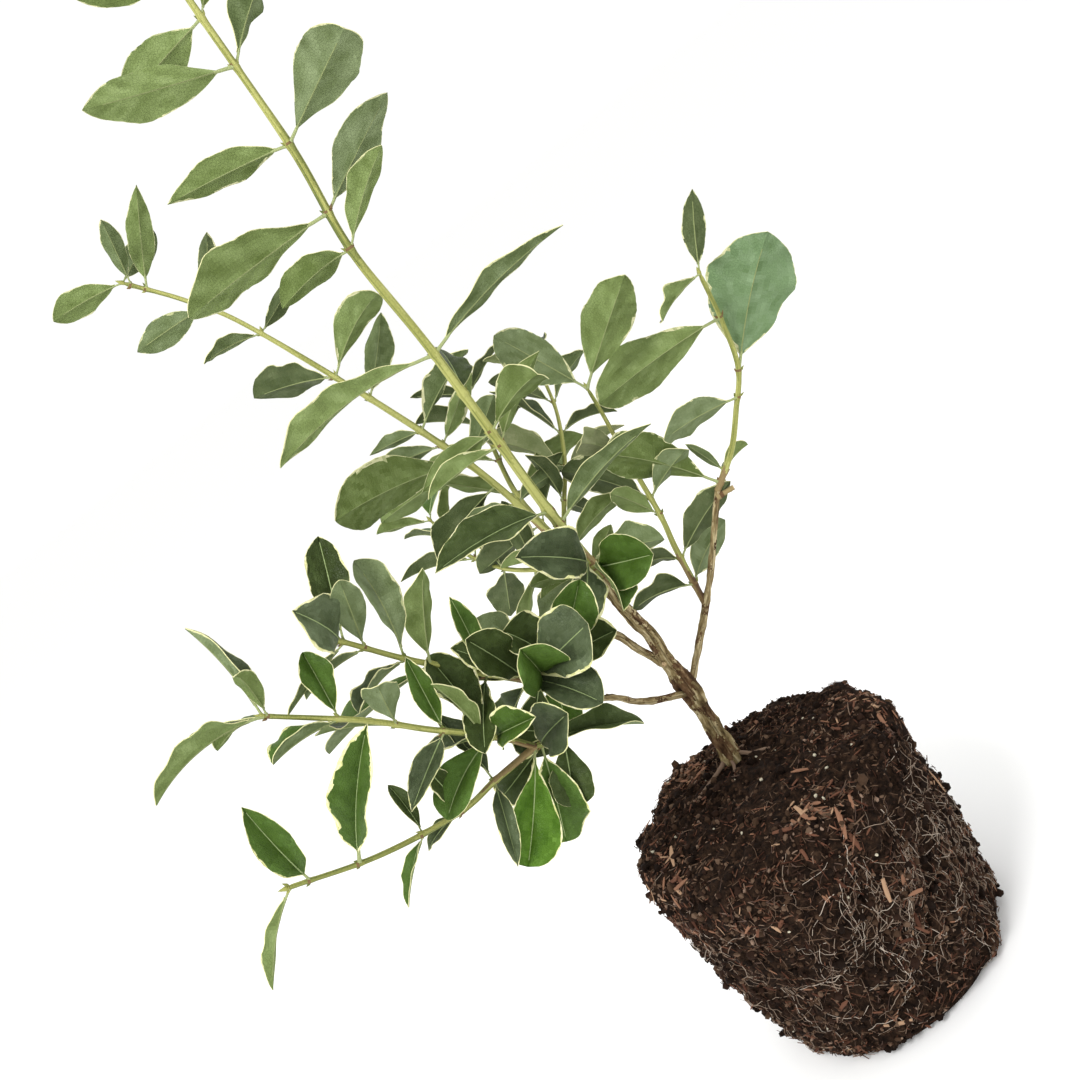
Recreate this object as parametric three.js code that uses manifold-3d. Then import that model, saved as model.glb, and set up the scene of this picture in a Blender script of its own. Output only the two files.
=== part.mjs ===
// Variegated euonymus standing on its root ball, lifted out of its nursery pot.
// Millimetres, +Z up. The origin is at the centre of the root ball's flat underside, and
// the side that faces -Y is the front.
import * as THREE from 'three';
import { mergeVertices } from 'three/addons/utils/BufferGeometryUtils.js';
import Module from 'manifold-3d';

const wasm = await Module();
wasm.setup();

// Driving dimensions
const clearance = 0.3;
const soilTop = 115.7;
const stemFoot = { y: 26, z: soilTop + clearance };
const seatRadius = 9;
// Rings of the root ball from its underside up: height, radius, how far the centre has
// moved back towards the stem
const ballRings = [
  [0, 54, 0], [4, 57.5, 0], [14, 60.5, 0], [40, 63.5, 0], [72, 66, 0], [98, 67, 0],
  [108, 65.5, 0], [112, 61.5, 0], [113.5, 50, 3], [114.8, 29, 14],
];
const ballSides = 36;
// Waves round the ball's side, as shares of its radius: size, how many of them, how much
// height leans them by a radian, phase. They are weaker round the underside.
const ballWaves = [
  [0.014, 3, Infinity, 1.9], [0.011, 5, 17, 0], [0.008, 9, -11, 0],
];
const undersideRoughness = 0.4;

// The trunk's flare fades and its knot swells within these shares of its length
const rootFlare = 2.6;
const flareShare = 0.09;
const knotSwelling = 1.3;
const knotShare = 0.42;
const knotReach = 0.09;
const trunkSides = 12;
const boughSides = 8;
const limbStep = 9;
const twigSides = 6;
const twigStep = 14;

// Leaves. A leaf's stalk is the first share of its length, its thickness is a share of
// its length, and stations are the shares of the blade where its width is worked out.
const petioleShare = 0.11;
const petioleHalfWidth = 0.65;
const leafThickness = 0.014;
const leastThickness = 0.55;
const bladeStations = [0.32, 0.62, 0.87];
// A blade's outline is share ** rise times (1 - share) ** fall. A round one widens more
// slowly and keeps its width nearer to its tip. The blades of broad-leaved shoots are round,
// and wider blades rounder.
const outline = { rise: 0.9, fall: 1, shift: 0.4 };
const roundness = { broad: 0.85, slim: 0.35, play: 0.9 };
const broadFrom = 0.5;
// Upper sides that look up also lean to the right by this much
const faceLean = { right: 0.35, up: 0.94 };
// How leaves grow, in degrees: each pair is turned against the next, blades curl down
// along their length and fold up along their midrib, and each of these has its play
const habit = {
  pairTurn: 26, turnPlay: 50, spreadPlay: 36, facePlay: 60, rollPlay: 30,
  curl: 30, curlPlay: 44, fold: 27, foldPlay: 26, widthPlay: 0.5,
};
const drawsPerLeaf = 7;
// The stream of draws: a multiplicative generator with a prime modulus
const draws = { seedStep: 7919, factor: 16807, modulus: 2147483647 };
// Corners nearer than this are joined once leaves and twigs are fused
const weldDistance = 0.002;

const bark = material('#8a6f55', 0.85);
const stemGreen = material('#9aa555', 0.6);
const leafGreen = material('#5f7d55', 0.5);
const soil = material('#3a2b22', 0.95);

// Limbs: route points, radius at the foot and at the tip
const limbs = {
  trunk: {
    route: [
      [-0.5, stemFoot.y + 1, 110], [3, 20, 158], [3, 16, 178], [4, 14, 193], [2, 12, 213], [3, 10, 229],
    ],
    radii: [4.2, 2.9],
  },
  bough_right: {
    route: [[3, 20, 158], [21, 24, 173], [33, 30, 182], [48, 34, 196], [69, 38, 219]],
    radii: [1.9, 1.5],
  },
  bough_front_left: {
    route: [[3, 20, 157], [-16, 6, 173], [-26, -6, 189], [-38, -16, 199]],
    radii: [1.8, 1.4],
  },
  bough_back_left: {
    route: [[3, 17, 172], [-4, 20, 189], [-9, 20, 202], [-24, 0, 212]],
    radii: [2.1, 1.5],
  },
};

// Shoots. face: the way the upper sides look, in degrees from the back over the top.
// left, right: how far the leaves stand off the shoot at its foot and at its tip.
// pairs: share of the shoot's length, blade on its left, blade on its right.
// marked: single leaves that stand out, as share, turn about the shoot from its right,
// spread, length, face, width as a share of the length. filling: more of them, drawn after
// the pairs.
const shoots = {
  leader: {
    seed: 1546, radii: [2.2, 1.2], face: 25, width: 0.37, left: [88, 90], right: [84, 56],
    route: [[3, 10, 229], [2, 8, 270], [4, 4, 350], [3, 2, 401], [9, 0, 445], [12, -8, 506], [15, -10, 528]],
    marked: [
      [0.02, 50, 95, 34, 160, 0.8], [0.03, 140, 45, 42, 150, 0.62], [0.13, 150, 74, 62, 110, 0.4],
      [0.4, 4, 82, 73, 42, 0.2], [0.33, 277, 60, 34, 40, 0.5], [0.02, 160, 60, 32, 30, 0.4],
    ],
    pairs: [
      [0.02, 27, 24], [0.11, 0, 58], [0.25, 38, 42], [0.27, 42, 43], [0.4, 0, 0], [0.575, 46, 43],
      [0.63, 69, 54], [0.725, 56, 57], [0.83, 60, 46], [0.895, 48, 32], [0.945, 36, 32], [0.99, 30, 26],
    ],
    filling: [
      [0.035, 200, 112, 40, 30, 0.5], [0.035, 350, 118, 36, 30, 0.55], [0.03, 95, 112, 36, 30, 0.55],
      [0.04, 130, 118, 32, 150, 0.6], [0.4, 172, 88, 77, 62, 0.26],
    ],
  },
  upper_left: {
    seed: 1523, radii: [1.9, 0.9], face: 25, width: 0.38, left: [78, 60], right: [84, 84],
    route: [[2, 12, 211], [-8, 50, 277], [-22, 60, 325], [-51, 70, 401], [-66, 72, 428], [-84, 76, 452]],
    marked: [[0.37, 149, 64, 68, 20, 0.46]],
    pairs: [
      [0.25, 30, 34], [0.36, 54, 34], [0.42, 37, 40], [0.46, 30, 48], [0.56, 0, 43], [0.62, 48, 46],
      [0.76, 30, 28], [0.86, 37, 35], [0.96, 0, 46], [0.985, 0, 33], [1, 35, 30],
    ],
    filling: [[0.86, 20, 125, 32, 25, 0.5], [0.3, 170, 95, 44, 25, 0.45]],
  },
  right: {
    seed: 1340, radii: [1.5, 0.9], face: 20, width: 0.36, left: [90, 95], right: [40, 50],
    route: [[69, 38, 219], [85, 38, 230], [97, 36, 244], [108, 32, 260], [113, 28, 282], [115, 20, 306]],
    marked: [[0.53, 11, 17, 62, 15, 0.66]],
    pairs: [[0.04, 60, 26], [0.09, 22, 0], [0.42, 48, 0], [0.78, 65, 0], [1, 35, 35]],
  },
  knot_twig: {
    seed: 747, radii: [1.5, 0.8], face: 20, width: 0.47, left: [75, 40], right: [75, 52],
    route: [[33, 30, 182], [38, 38, 209], [42, 42, 226], [46, 44, 260], [48, 40, 279], [49, 36, 294]],
    marked: [],
    pairs: [[0.09, 41, 38], [0.2, 28, 42], [0.4, 30, 0], [0.48, 44, 30], [0.68, 28, 0], [1, 48, 56]],
  },
  back_left: {
    seed: 972, radii: [1.5, 1.4], face: 140, width: 0.62, left: [60, 60], right: [60, 60],
    route: [[-24, 0, 212], [-38, -20, 221], [-47, -30, 226]],
    marked: [
      [1, 51, 95, 40, 150, 0.75], [0.99, 101, 92, 35, 150, 0.7], [1, 320, 48, 36, 120, 0.5],
      [0.99, 304, 87, 36, 20, 0.8], [1, 355, 42, 41, 140, 0.5], [1, 275, 54, 34, 120, 0.4],
      [1, 214, 105, 31, 130, 0.7],
    ],
    pairs: [[0.55, 30, 34], [0.8, 34, 38]],
    filling: [[0.4, 20, 85, 40, 140, 0.6], [0.6, 60, 100, 34, 150, 0.6]],
  },
  left: {
    seed: 597, radii: [1.5, 1], face: 80, width: 0.38, left: [75, 60], right: [60, 50],
    route: [[-47, -30, 226], [-60, -34, 243], [-77, -40, 266], [-91, -46, 289], [-95, -48, 294]],
    marked: [[0.93, 53, 37, 32, 140, 0.75]],
    pairs: [[0.22, 36, 34], [0.5, 54, 48], [0.62, 30, 43], [0.8, 32, 36], [0.92, 34, 42]],
  },
  front_left: {
    seed: 1229, radii: [1.4, 1.3], face: 140, width: 0.55, left: [60, 60], right: [60, 60],
    route: [[-38, -16, 199], [-51, -30, 199], [-61, -40, 206]],
    marked: [[1, 159, 62, 47, 150, 0.5], [0.89, 166, 100, 42, 140, 0.6], [0.89, 69, 130, 42, 130, 0.4]],
    pairs: [[0.5, 30, 32], [0.89, 28, 36]],
  },
  low_left: {
    seed: 1001, radii: [1.4, 0.9], face: 92, width: 0.45, left: [70, 45], right: [50, 50],
    route: [[-61, -40, 206], [-69, -50, 223], [-86, -56, 244], [-101, -62, 264], [-126, -70, 291]],
    marked: [[0.19, 52, 87, 30, 150, 0.65]],
    pairs: [
      [0.21, 36, 40], [0.24, 30, 34], [0.38, 36, 32], [0.56, 32, 34], [0.76, 30, 28], [0.985, 27, 28],
      [1, 48, 43],
    ],
  },
  lowest_left: {
    seed: 122, radii: [1.4, 0.9], face: 105, width: 0.4, left: [40, 75], right: [80, 60],
    route: [[-61, -40, 206], [-80, -50, 209], [-98, -56, 210], [-129, -66, 220], [-160, -76, 236]],
    marked: [[0.75, 18, 100, 62, 140, 0.34], [0.92, 7, 63, 42, 150, 0.4], [0.99, 193, 73, 45, 80, 0.2]],
    pairs: [[0.2, 34, 36], [0.36, 26, 30], [0.52, 28, 24]],
  },
  middle: {
    seed: 31, radii: [1.8, 0.9], face: 30, width: 0.42, left: [75, 60], right: [75, 60],
    route: [[2, 12, 204], [1, 30, 220], [-2, 50, 243], [-4, 80, 266], [2, 105, 291], [8, 118, 314]],
    marked: [],
    pairs: [[0.3, 34, 38], [0.45, 42, 36], [0.6, 44, 46], [0.74, 38, 44], [0.88, 34, 36], [1, 30, 34]],
  },
  middle_left: {
    seed: 57, radii: [1.2, 0.8], face: 60, width: 0.42, left: [70, 50], right: [70, 50],
    route: [[0, 42, 233], [-14, 52, 236], [-30, 72, 243], [-42, 95, 257], [-46, 112, 277]],
    marked: [],
    pairs: [[0.25, 32, 36], [0.45, 40, 38], [0.65, 38, 42], [0.83, 34, 32], [1, 28, 32]],
  },
  middle_right: {
    seed: 83, radii: [1.2, 0.8], face: 60, width: 0.42, left: [70, 50], right: [70, 50],
    route: [[-1, 48, 241], [10, 62, 252], [24, 76, 266], [36, 92, 284], [42, 100, 302]],
    marked: [],
    pairs: [[0.25, 34, 30], [0.45, 40, 36], [0.65, 40, 34], [0.83, 34, 30], [1, 30, 28]],
  },
};

// Masses of foliage: the shoots that grow from one stem, the first of them the stem itself
const masses = {
  foliage_leader: [shoots.leader],
  foliage_right: [shoots.right],
  foliage_knot_twig: [shoots.knot_twig],
  foliage_back_left: [shoots.back_left, shoots.left],
  foliage_front_left: [shoots.front_left, shoots.low_left, shoots.lowest_left],
  foliage_upper_left: [shoots.upper_left],
  foliage_middle: [shoots.middle, shoots.middle_left, shoots.middle_right],
};

function material(color, roughness) {
  return new THREE.MeshStandardMaterial({ color, roughness, metalness: 0 });
}

// Draws between 0 and 1, the same in each run for a seed
function stream(seed) {
  let state = seed * draws.seedStep;
  return () => {
    state = (state * draws.factor) % draws.modulus;
    return state / draws.modulus;
  };
}

function mix(from, to, share) {
  return from + (to - from) * share;
}

function radians(degrees) {
  return THREE.MathUtils.degToRad(degrees);
}

// A smooth curve through hand-placed points, its parameter the share of the whole length
class Route extends THREE.Curve {
  constructor(points) {
    super();
    this.points = points.map((point) => new THREE.Vector3(...point));
    this.spans = this.points.slice(1).map((point, i) => point.distanceTo(this.points[i]));
    this.length = this.spans.reduce((sum, span) => sum + span, 0);
  }

  getPoint(share) {
    const { points, spans } = this;
    let rest = THREE.MathUtils.clamp(share, 0, 1) * this.length;
    let i = 0;
    while (i < spans.length - 1 && rest > spans[i]) {
      rest -= spans[i];
      i += 1;
    }
    const b = points[i];
    const c = points[i + 1];
    const a = points[i - 1] ?? b.clone().multiplyScalar(2).sub(c);
    const d = points[i + 2] ?? c.clone().multiplyScalar(2).sub(b);
    return catmullRom(a, b, c, d, rest / spans[i]);
  }

  getTangent(share) {
    const reach = 0.01;
    const ahead = this.getPoint(Math.min(share + reach, 1));
    return ahead.sub(this.getPoint(Math.max(share - reach, 0))).normalize();
  }

  // The shoot's own directions at a share: along it, to its right and to its front
  axes(share) {
    const along = this.getTangent(share);
    const right = new THREE.Vector3().crossVectors(along, new THREE.Vector3(0, -1, 0)).normalize();
    const front = new THREE.Vector3().crossVectors(right, along);
    return { along, right, front };
  }
}

// The Catmull-Rom curve from b to c, at the share f of the way
function catmullRom(a, b, c, d, f) {
  const slope = c.clone().sub(a);
  const square = a.clone().multiplyScalar(2).addScaledVector(b, -5).addScaledVector(c, 4).sub(d);
  const cube = b.clone().multiplyScalar(3).sub(a).addScaledVector(c, -3).add(d);
  const point = b.clone().multiplyScalar(2);
  point.addScaledVector(slope, f).addScaledVector(square, f * f).addScaledVector(cube, f * f * f);
  return point.multiplyScalar(0.5);
}

// A closed skin over rings of equally many points, with flat caps, or a point where a
// ring has only one
function loft(rings) {
  const positions = [];
  const indices = [];
  const starts = rings.map((ring) => {
    const start = positions.length / 3;
    ring.forEach((point) => positions.push(point.x, point.y, point.z));
    return start;
  });
  const sides = Math.max(...rings.map((ring) => ring.length));
  for (let i = 0; i < rings.length - 1; i += 1) {
    for (let k = 0; k < sides; k += 1) {
      const next = (k + 1) % sides;
      const low = starts[i];
      const high = starts[i + 1];
      if (rings[i + 1].length === 1) {
        indices.push(low + k, low + next, high);
      } else {
        indices.push(low + k, low + next, high + next, low + k, high + next, high + k);
      }
    }
  }
  const lastStart = starts.at(-1);
  for (let k = 1; k < sides - 1; k += 1) {
    indices.push(0, k + 1, k);
    if (rings.at(-1).length > 1) indices.push(lastStart, lastStart + k, lastStart + k + 1);
  }
  const geometry = new THREE.BufferGeometry();
  geometry.setAttribute('position', new THREE.Float32BufferAttribute(positions, 3));
  geometry.setIndex(indices);
  return geometry;
}

function solidOf(geometry) {
  const merged = mergeVertices(geometry);
  return new wasm.Manifold(new wasm.Mesh({
    numProp: 3,
    vertProperties: new Float32Array(merged.attributes.position.array),
    triVerts: new Uint32Array(merged.index.array),
  }));
}

function geometryOf(solid) {
  const mesh = solid.getMesh();
  const geometry = new THREE.BufferGeometry();
  geometry.setAttribute('position', new THREE.BufferAttribute(mesh.vertProperties, 3));
  geometry.setIndex(new THREE.BufferAttribute(mesh.triVerts, 1));
  return geometry;
}

// A round limb along a route, whose radius is a function of the share
function limbGeometry(route, radiusAt, sides, step) {
  const steps = Math.max(2, Math.round(route.length / step));
  const rings = [];
  for (let i = 0; i <= steps; i += 1) {
    const share = i / steps;
    const { right, front } = route.axes(share);
    const ring = [];
    for (let k = 0; k < sides; k += 1) {
      const angle = (k / sides) * 2 * Math.PI;
      const point = route.getPoint(share);
      point.addScaledVector(right, radiusAt(share) * Math.cos(angle));
      point.addScaledVector(front, -radiusAt(share) * Math.sin(angle));
      ring.push(point);
    }
    rings.push(ring);
  }
  return loft(rings);
}

function plainRadius([foot, tip]) {
  return (share) => mix(foot, tip, share);
}

// The trunk's radius: its taper, the flare at its foot and the knot where it forks
function trunkRadius(share) {
  const flare = rootFlare * Math.exp(-share / flareShare);
  const knot = knotSwelling * Math.exp(-(((share - knotShare) / knotReach) ** 2));
  return mix(...limbs.trunk.radii, share) + flare + knot;
}

// One leaf of a shoot. Where it is loose, its place and width vary with the stream.
function leafOf(shoot, [at, turn, spread, length, face, width], draw, loose) {
  const drawn = Array.from({ length: drawsPerLeaf }, () => draw() - 0.5);
  const [turnDraw, spreadDraw, faceDraw, widthDraw, rollDraw, curlDraw, foldDraw] = drawn;
  const turned = radians(turn + loose * habit.turnPlay * turnDraw);
  const spreadOut = radians(spread + loose * habit.spreadPlay * spreadDraw);
  const faced = radians(face + loose * habit.facePlay * faceDraw);
  const { along, right, front } = shoot.curve.axes(at);
  const outward = right.multiplyScalar(Math.cos(turned)).addScaledVector(front, Math.sin(turned));
  const direction = along.multiplyScalar(Math.cos(spreadOut));
  direction.addScaledVector(outward, Math.sin(spreadOut));
  const rise = Math.sin(faced);
  const upper = new THREE.Vector3(faceLean.right * rise, Math.cos(faced), faceLean.up * rise);
  upper.addScaledVector(direction, -upper.dot(direction)).normalize();
  upper.applyAxisAngle(direction, radians(habit.rollPlay * rollDraw));
  return {
    foot: shoot.curve.getPoint(at),
    direction,
    upper,
    length,
    halfWidth: 0.5 * width * length * (1 + loose * habit.widthPlay * widthDraw),
    curl: radians(habit.curl + habit.curlPlay * curlDraw),
    fold: radians(habit.fold + habit.foldPlay * foldDraw),
    roundness: (shoot.width > broadFrom ? roundness.broad : roundness.slim) + roundness.play * widthDraw,
  };
}

function leavesOf(shoot) {
  const draw = stream(shoot.seed);
  const leaves = shoot.marked.map((row) => leafOf(shoot, row, draw, 0));
  shoot.pairs.forEach(([at, left, right], number) => {
    const pairTurn = number % 2 ? habit.pairTurn : -habit.pairTurn;
    const sides = [[left, 180, shoot.left], [right, 0, shoot.right]];
    for (const [length, turn, spreads] of sides) {
      const row = [at, turn + pairTurn, mix(...spreads, at), length, shoot.face, shoot.width];
      const leaf = leafOf(shoot, row, draw, 1);
      if (length > 0) leaves.push(leaf);
    }
  });
  const filling = (shoot.filling ?? []).map((row) => leafOf(shoot, row, draw, 0));
  return leaves.concat(filling);
}

// How wide a blade is at a share of its length, as a share of its widest: a pointed oval
// that is widest beyond its middle
function bladeOutline(share, round) {
  const rise = outline.rise + outline.shift * round;
  const fall = outline.fall - outline.shift * round;
  const top = (rise / (rise + fall)) ** rise * (fall / (rise + fall)) ** fall;
  return (share ** rise * (1 - share) ** fall) / top;
}

// A leaf's cross-section: a thin lozenge folded up along its midrib
function leafRing(leaf, share, halfWidth) {
  const { direction, upper, curl, fold } = leaf;
  const side = new THREE.Vector3().crossVectors(direction, upper);
  const bendRadius = leaf.length / 2 / Math.sin(curl / 2);
  const heading = curl * (0.5 - share);
  const centre = leaf.foot.clone();
  centre.addScaledVector(direction, bendRadius * (Math.sin(curl / 2) - Math.sin(heading)));
  centre.addScaledVector(upper, bendRadius * (Math.cos(heading) - Math.cos(curl / 2)));
  if (halfWidth === 0) return [centre];
  const out = upper.clone().multiplyScalar(Math.cos(heading));
  out.addScaledVector(direction, -Math.sin(heading));
  const half = 0.5 * Math.max(leastThickness, leafThickness * leaf.length);
  const edge = (sign) => centre.clone()
    .addScaledVector(side, sign * halfWidth * Math.cos(fold))
    .addScaledVector(out, halfWidth * Math.sin(fold));
  const face = (sign) => centre.clone().addScaledVector(out, sign * half);
  return [edge(1), face(-1), edge(-1), face(1)];
}

function leafSolid(leaf) {
  const rings = [leafRing(leaf, 0, petioleHalfWidth), leafRing(leaf, petioleShare, petioleHalfWidth)];
  for (const station of bladeStations) {
    const halfWidth = leaf.halfWidth * bladeOutline(station, leaf.roundness);
    rings.push(leafRing(leaf, mix(petioleShare, 1, station), halfWidth));
  }
  rings.push(leafRing(leaf, 1, 0));
  return solidOf(loft(rings));
}

function shootSolid(shoot) {
  return solidOf(limbGeometry(shoot.curve, plainRadius(shoot.radii), twigSides, twigStep));
}

// The root ball: rings that lean back towards the stem near the top, with the uneven
// sides of a ball that has filled its pot, and a level seat for the stem
function rootBallGeometry() {
  const rings = ballRings.map(([height, radius, shift]) => {
    const rough = height === 0 ? undersideRoughness : 1;
    return ringAround(0, shift, height, (angle) => radius * (1 + rough * unevenness(angle, height)));
  });
  rings.push(ringAround(0, stemFoot.y, soilTop, () => seatRadius));
  return loft(rings);
}

function ringAround(x, y, height, radiusAt) {
  return Array.from({ length: ballSides }, (_, k) => {
    const angle = (k / ballSides) * 2 * Math.PI;
    const radius = radiusAt(angle);
    return new THREE.Vector3(x + radius * Math.cos(angle), y + radius * Math.sin(angle), height);
  });
}

function unevenness(angle, height) {
  const heights = ballWaves.map(([size, count, lean, phase]) => (
    size * Math.sin(count * angle + height / lean + phase)
  ));
  return heights.reduce((sum, value) => sum + value, 0);
}

// Limbs: the trunk cut level at the soil, and each bough cut clear of the trunk
function limbSolids() {
  const solids = {};
  const grown = {};
  for (const [name, { route, radii }] of Object.entries(limbs)) {
    const curve = new Route(route);
    const radiusAt = name === 'trunk' ? trunkRadius : plainRadius(radii);
    const sides = name === 'trunk' ? trunkSides : boughSides;
    solids[name] = solidOf(limbGeometry(curve, radiusAt, sides, limbStep));
    grown[name] = clearanceAround(curve, radiusAt, sides);
    if (name !== 'trunk') solids[name] = solids[name].subtract(grown.trunk);
  }
  solids.trunk = solids.trunk.trimByPlane([0, 0, 1], stemFoot.z);
  return { solids, grown };
}

// The space that a limb's neighbours keep out of: the limb a clearance fatter, and
// longer at its tip
function clearanceAround(curve, radiusAt, sides) {
  const { along } = curve.axes(1);
  const beyond = curve.getPoint(1).addScaledVector(along, clearance);
  const longer = new Route([...curve.points.slice(0, -1), beyond].map((point) => point.toArray()));
  return solidOf(limbGeometry(longer, (share) => radiusAt(share) + clearance, sides, limbStep));
}

// Each mass: its shoots cut clear of the limbs, then each leaf that clears the limbs and
// the other masses
function massSolids(keptClear) {
  const stems = {};
  for (const [name, members] of Object.entries(masses)) {
    const joined = members.map(shootSolid).reduce((whole, twig) => whole.add(twig));
    stems[name] = joined.subtract(keptClear);
  }
  const finished = {};
  for (const [name, members] of Object.entries(masses)) {
    const others = Object.keys(stems).filter((other) => other !== name);
    const neighbours = others.map((other) => finished[other] ?? stems[other]);
    const leaves = members.flatMap(leavesOf).map(leafSolid);
    const kept = leaves.filter((leaf) => staysClear(leaf, keptClear, neighbours));
    finished[name] = largestPiece(kept.reduce((whole, leaf) => whole.add(leaf), stems[name]));
  }
  return finished;
}

function staysClear(leaf, keptClear, neighbours) {
  if (!leaf.intersect(keptClear).isEmpty()) return false;
  return neighbours.every((neighbour) => leaf.minGap(neighbour, 2 * clearance) > clearance);
}

function largestPiece(solid) {
  const pieces = solid.simplify(weldDistance).decompose();
  return pieces.reduce((best, piece) => (piece.volume() > best.volume() ? piece : best));
}

function addPart(group, name, geometry, surface) {
  const mesh = new THREE.Mesh(geometry, surface);
  mesh.name = name;
  group.add(mesh);
}

function euonymus() {
  const plant = new THREE.Group();
  for (const shoot of Object.values(shoots)) shoot.curve = new Route(shoot.route);
  const ball = rootBallGeometry();
  addPart(plant, 'root_ball', ball, soil);
  const { solids, grown } = limbSolids();
  for (const [name, solid] of Object.entries(solids)) addPart(plant, name, geometryOf(solid), bark);
  const keptClear = Object.values(grown).reduce((whole, solid) => whole.add(solid), solidOf(ball));
  for (const [name, solid] of Object.entries(massSolids(keptClear))) {
    addPart(plant, name, geometryOf(solid), name === 'foliage_leader' ? stemGreen : leafGreen);
  }
  return plant;
}

export default euonymus();
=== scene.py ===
# Looks of a variegated euonymus that stands on its root ball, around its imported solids.
# Lengths are millimetres here, and each piece's mesh is in metres.
import math
from itertools import combinations

import bpy
import numpy as np
from mathutils import Matrix


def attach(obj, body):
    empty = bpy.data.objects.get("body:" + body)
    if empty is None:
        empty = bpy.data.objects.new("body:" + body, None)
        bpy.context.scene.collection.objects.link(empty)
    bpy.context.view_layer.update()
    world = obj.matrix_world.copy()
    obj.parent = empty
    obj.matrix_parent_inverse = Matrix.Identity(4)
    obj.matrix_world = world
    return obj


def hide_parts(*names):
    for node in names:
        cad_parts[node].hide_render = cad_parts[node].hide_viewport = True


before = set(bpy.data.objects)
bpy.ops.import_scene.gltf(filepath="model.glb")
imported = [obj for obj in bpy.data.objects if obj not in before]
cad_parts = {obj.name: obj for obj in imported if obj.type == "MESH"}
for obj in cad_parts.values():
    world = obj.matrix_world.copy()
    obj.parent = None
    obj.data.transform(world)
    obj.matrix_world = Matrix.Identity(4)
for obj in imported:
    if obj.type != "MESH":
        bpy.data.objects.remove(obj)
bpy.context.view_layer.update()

MM = 0.001
# Where the stem leaves the soil: how high, and how far back
SOIL_TOP = 115.7
STEM_Y = 26.0

# The root ball's profile from its underside up: height, radius, how far back its centre is
BALL_RINGS = [
    (0, 54, 0), (4, 57.5, 0), (14, 60.5, 0), (40, 63.5, 0), (72, 66, 0), (98, 67, 0),
    (108, 65.5, 0), (112, 61.5, 0), (113.5, 50, 3), (114.8, 29, 14), (SOIL_TOP, 9, STEM_Y),
]

# The trunk's swellings at its foot and its knot, and their shares of its length
ROOT_FLARE = 2.6
FLARE_SHARE = 0.09
KNOT_SWELLING = 1.3
KNOT_SHARE = 0.42
KNOT_REACH = 0.09

# A petiole's share of its leaf's length
PETIOLE_SHARE = 0.11
# The blades of shoots with a width from BROAD_FROM up are round, and wider blades rounder
ROUNDNESS = dict(broad=0.85, slim=0.35, play=0.9)
BROAD_FROM = 0.5
# How far an upper side that looks up also looks to the right
FACE_ASIDE = 0.35
FACE_UP = 0.94
# How leaves grow, in degrees: how far pairs are turned, how much a blade curls, folds and rolls,
# and how much a loose leaf's turn, spread and face vary
PAIR_TURN = 26
CURL, CURL_PLAY = 30, 44
FOLD, FOLD_PLAY = 27, 26
ROLL_PLAY = 30
LOOSE_PLAY = (50, 36, 60)
# How much a loose leaf's width varies, as a share of it
WIDTH_PLAY = 0.5

# Limbs: route points, radius at the foot and at the tip.
# knots: share, angle about the limb in degrees from its right, height, reach.
# stubs of cut twigs: share, angle, how far it leans along the limb, length, radius.
LIMBS = {
    "trunk": dict(
        route=[(-0.5, 27, 110), (3, 20, 158), (3, 16, 178), (4, 14, 193), (2, 12, 213), (3, 10, 229)],
        radii=(4.2, 2.9),
        knots=[
            (0.2, 200, 0.5, 3.5), (0.36, 30, 0.9, 4), (0.44, 150, 1.2, 4.5), (0.52, 280, 0.8, 3.5),
            (0.63, 100, 0.7, 3.2), (0.78, 220, 0.6, 3), (0.9, 20, 0.8, 3),
        ],
        stubs=[(0.57, 120, 0.4, 5, 1.1), (0.8, 300, 0.6, 4.5, 1.0)]),
    "bough_right": dict(
        route=[(3, 20, 158), (21, 24, 173), (33, 30, 182), (48, 34, 196), (69, 38, 219)],
        radii=(1.9, 1.5),
        knots=[(0.46, 270, 1.0, 2.8), (0.5, 90, 0.8, 2.6)],
        stubs=[(0.47, 250, 0.3, 6.5, 1.3), (0.97, 20, 0.7, 9, 1.2)]),
    "bough_front_left": dict(
        route=[(3, 20, 157), (-16, 6, 173), (-26, -6, 189), (-38, -16, 199)],
        radii=(1.8, 1.4),
        knots=[(0.35, 60, 0.5, 2.6)],
        stubs=[(0.7, 260, 0.5, 4, 0.8)]),
    "bough_back_left": dict(
        route=[(3, 17, 172), (-4, 20, 189), (-9, 20, 202), (-24, 0, 212)],
        radii=(2.1, 1.5),
        knots=[(0.5, 90, 0.8, 3)],
        stubs=[(0.62, 80, 0.5, 5, 1.0)]),
}

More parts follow.
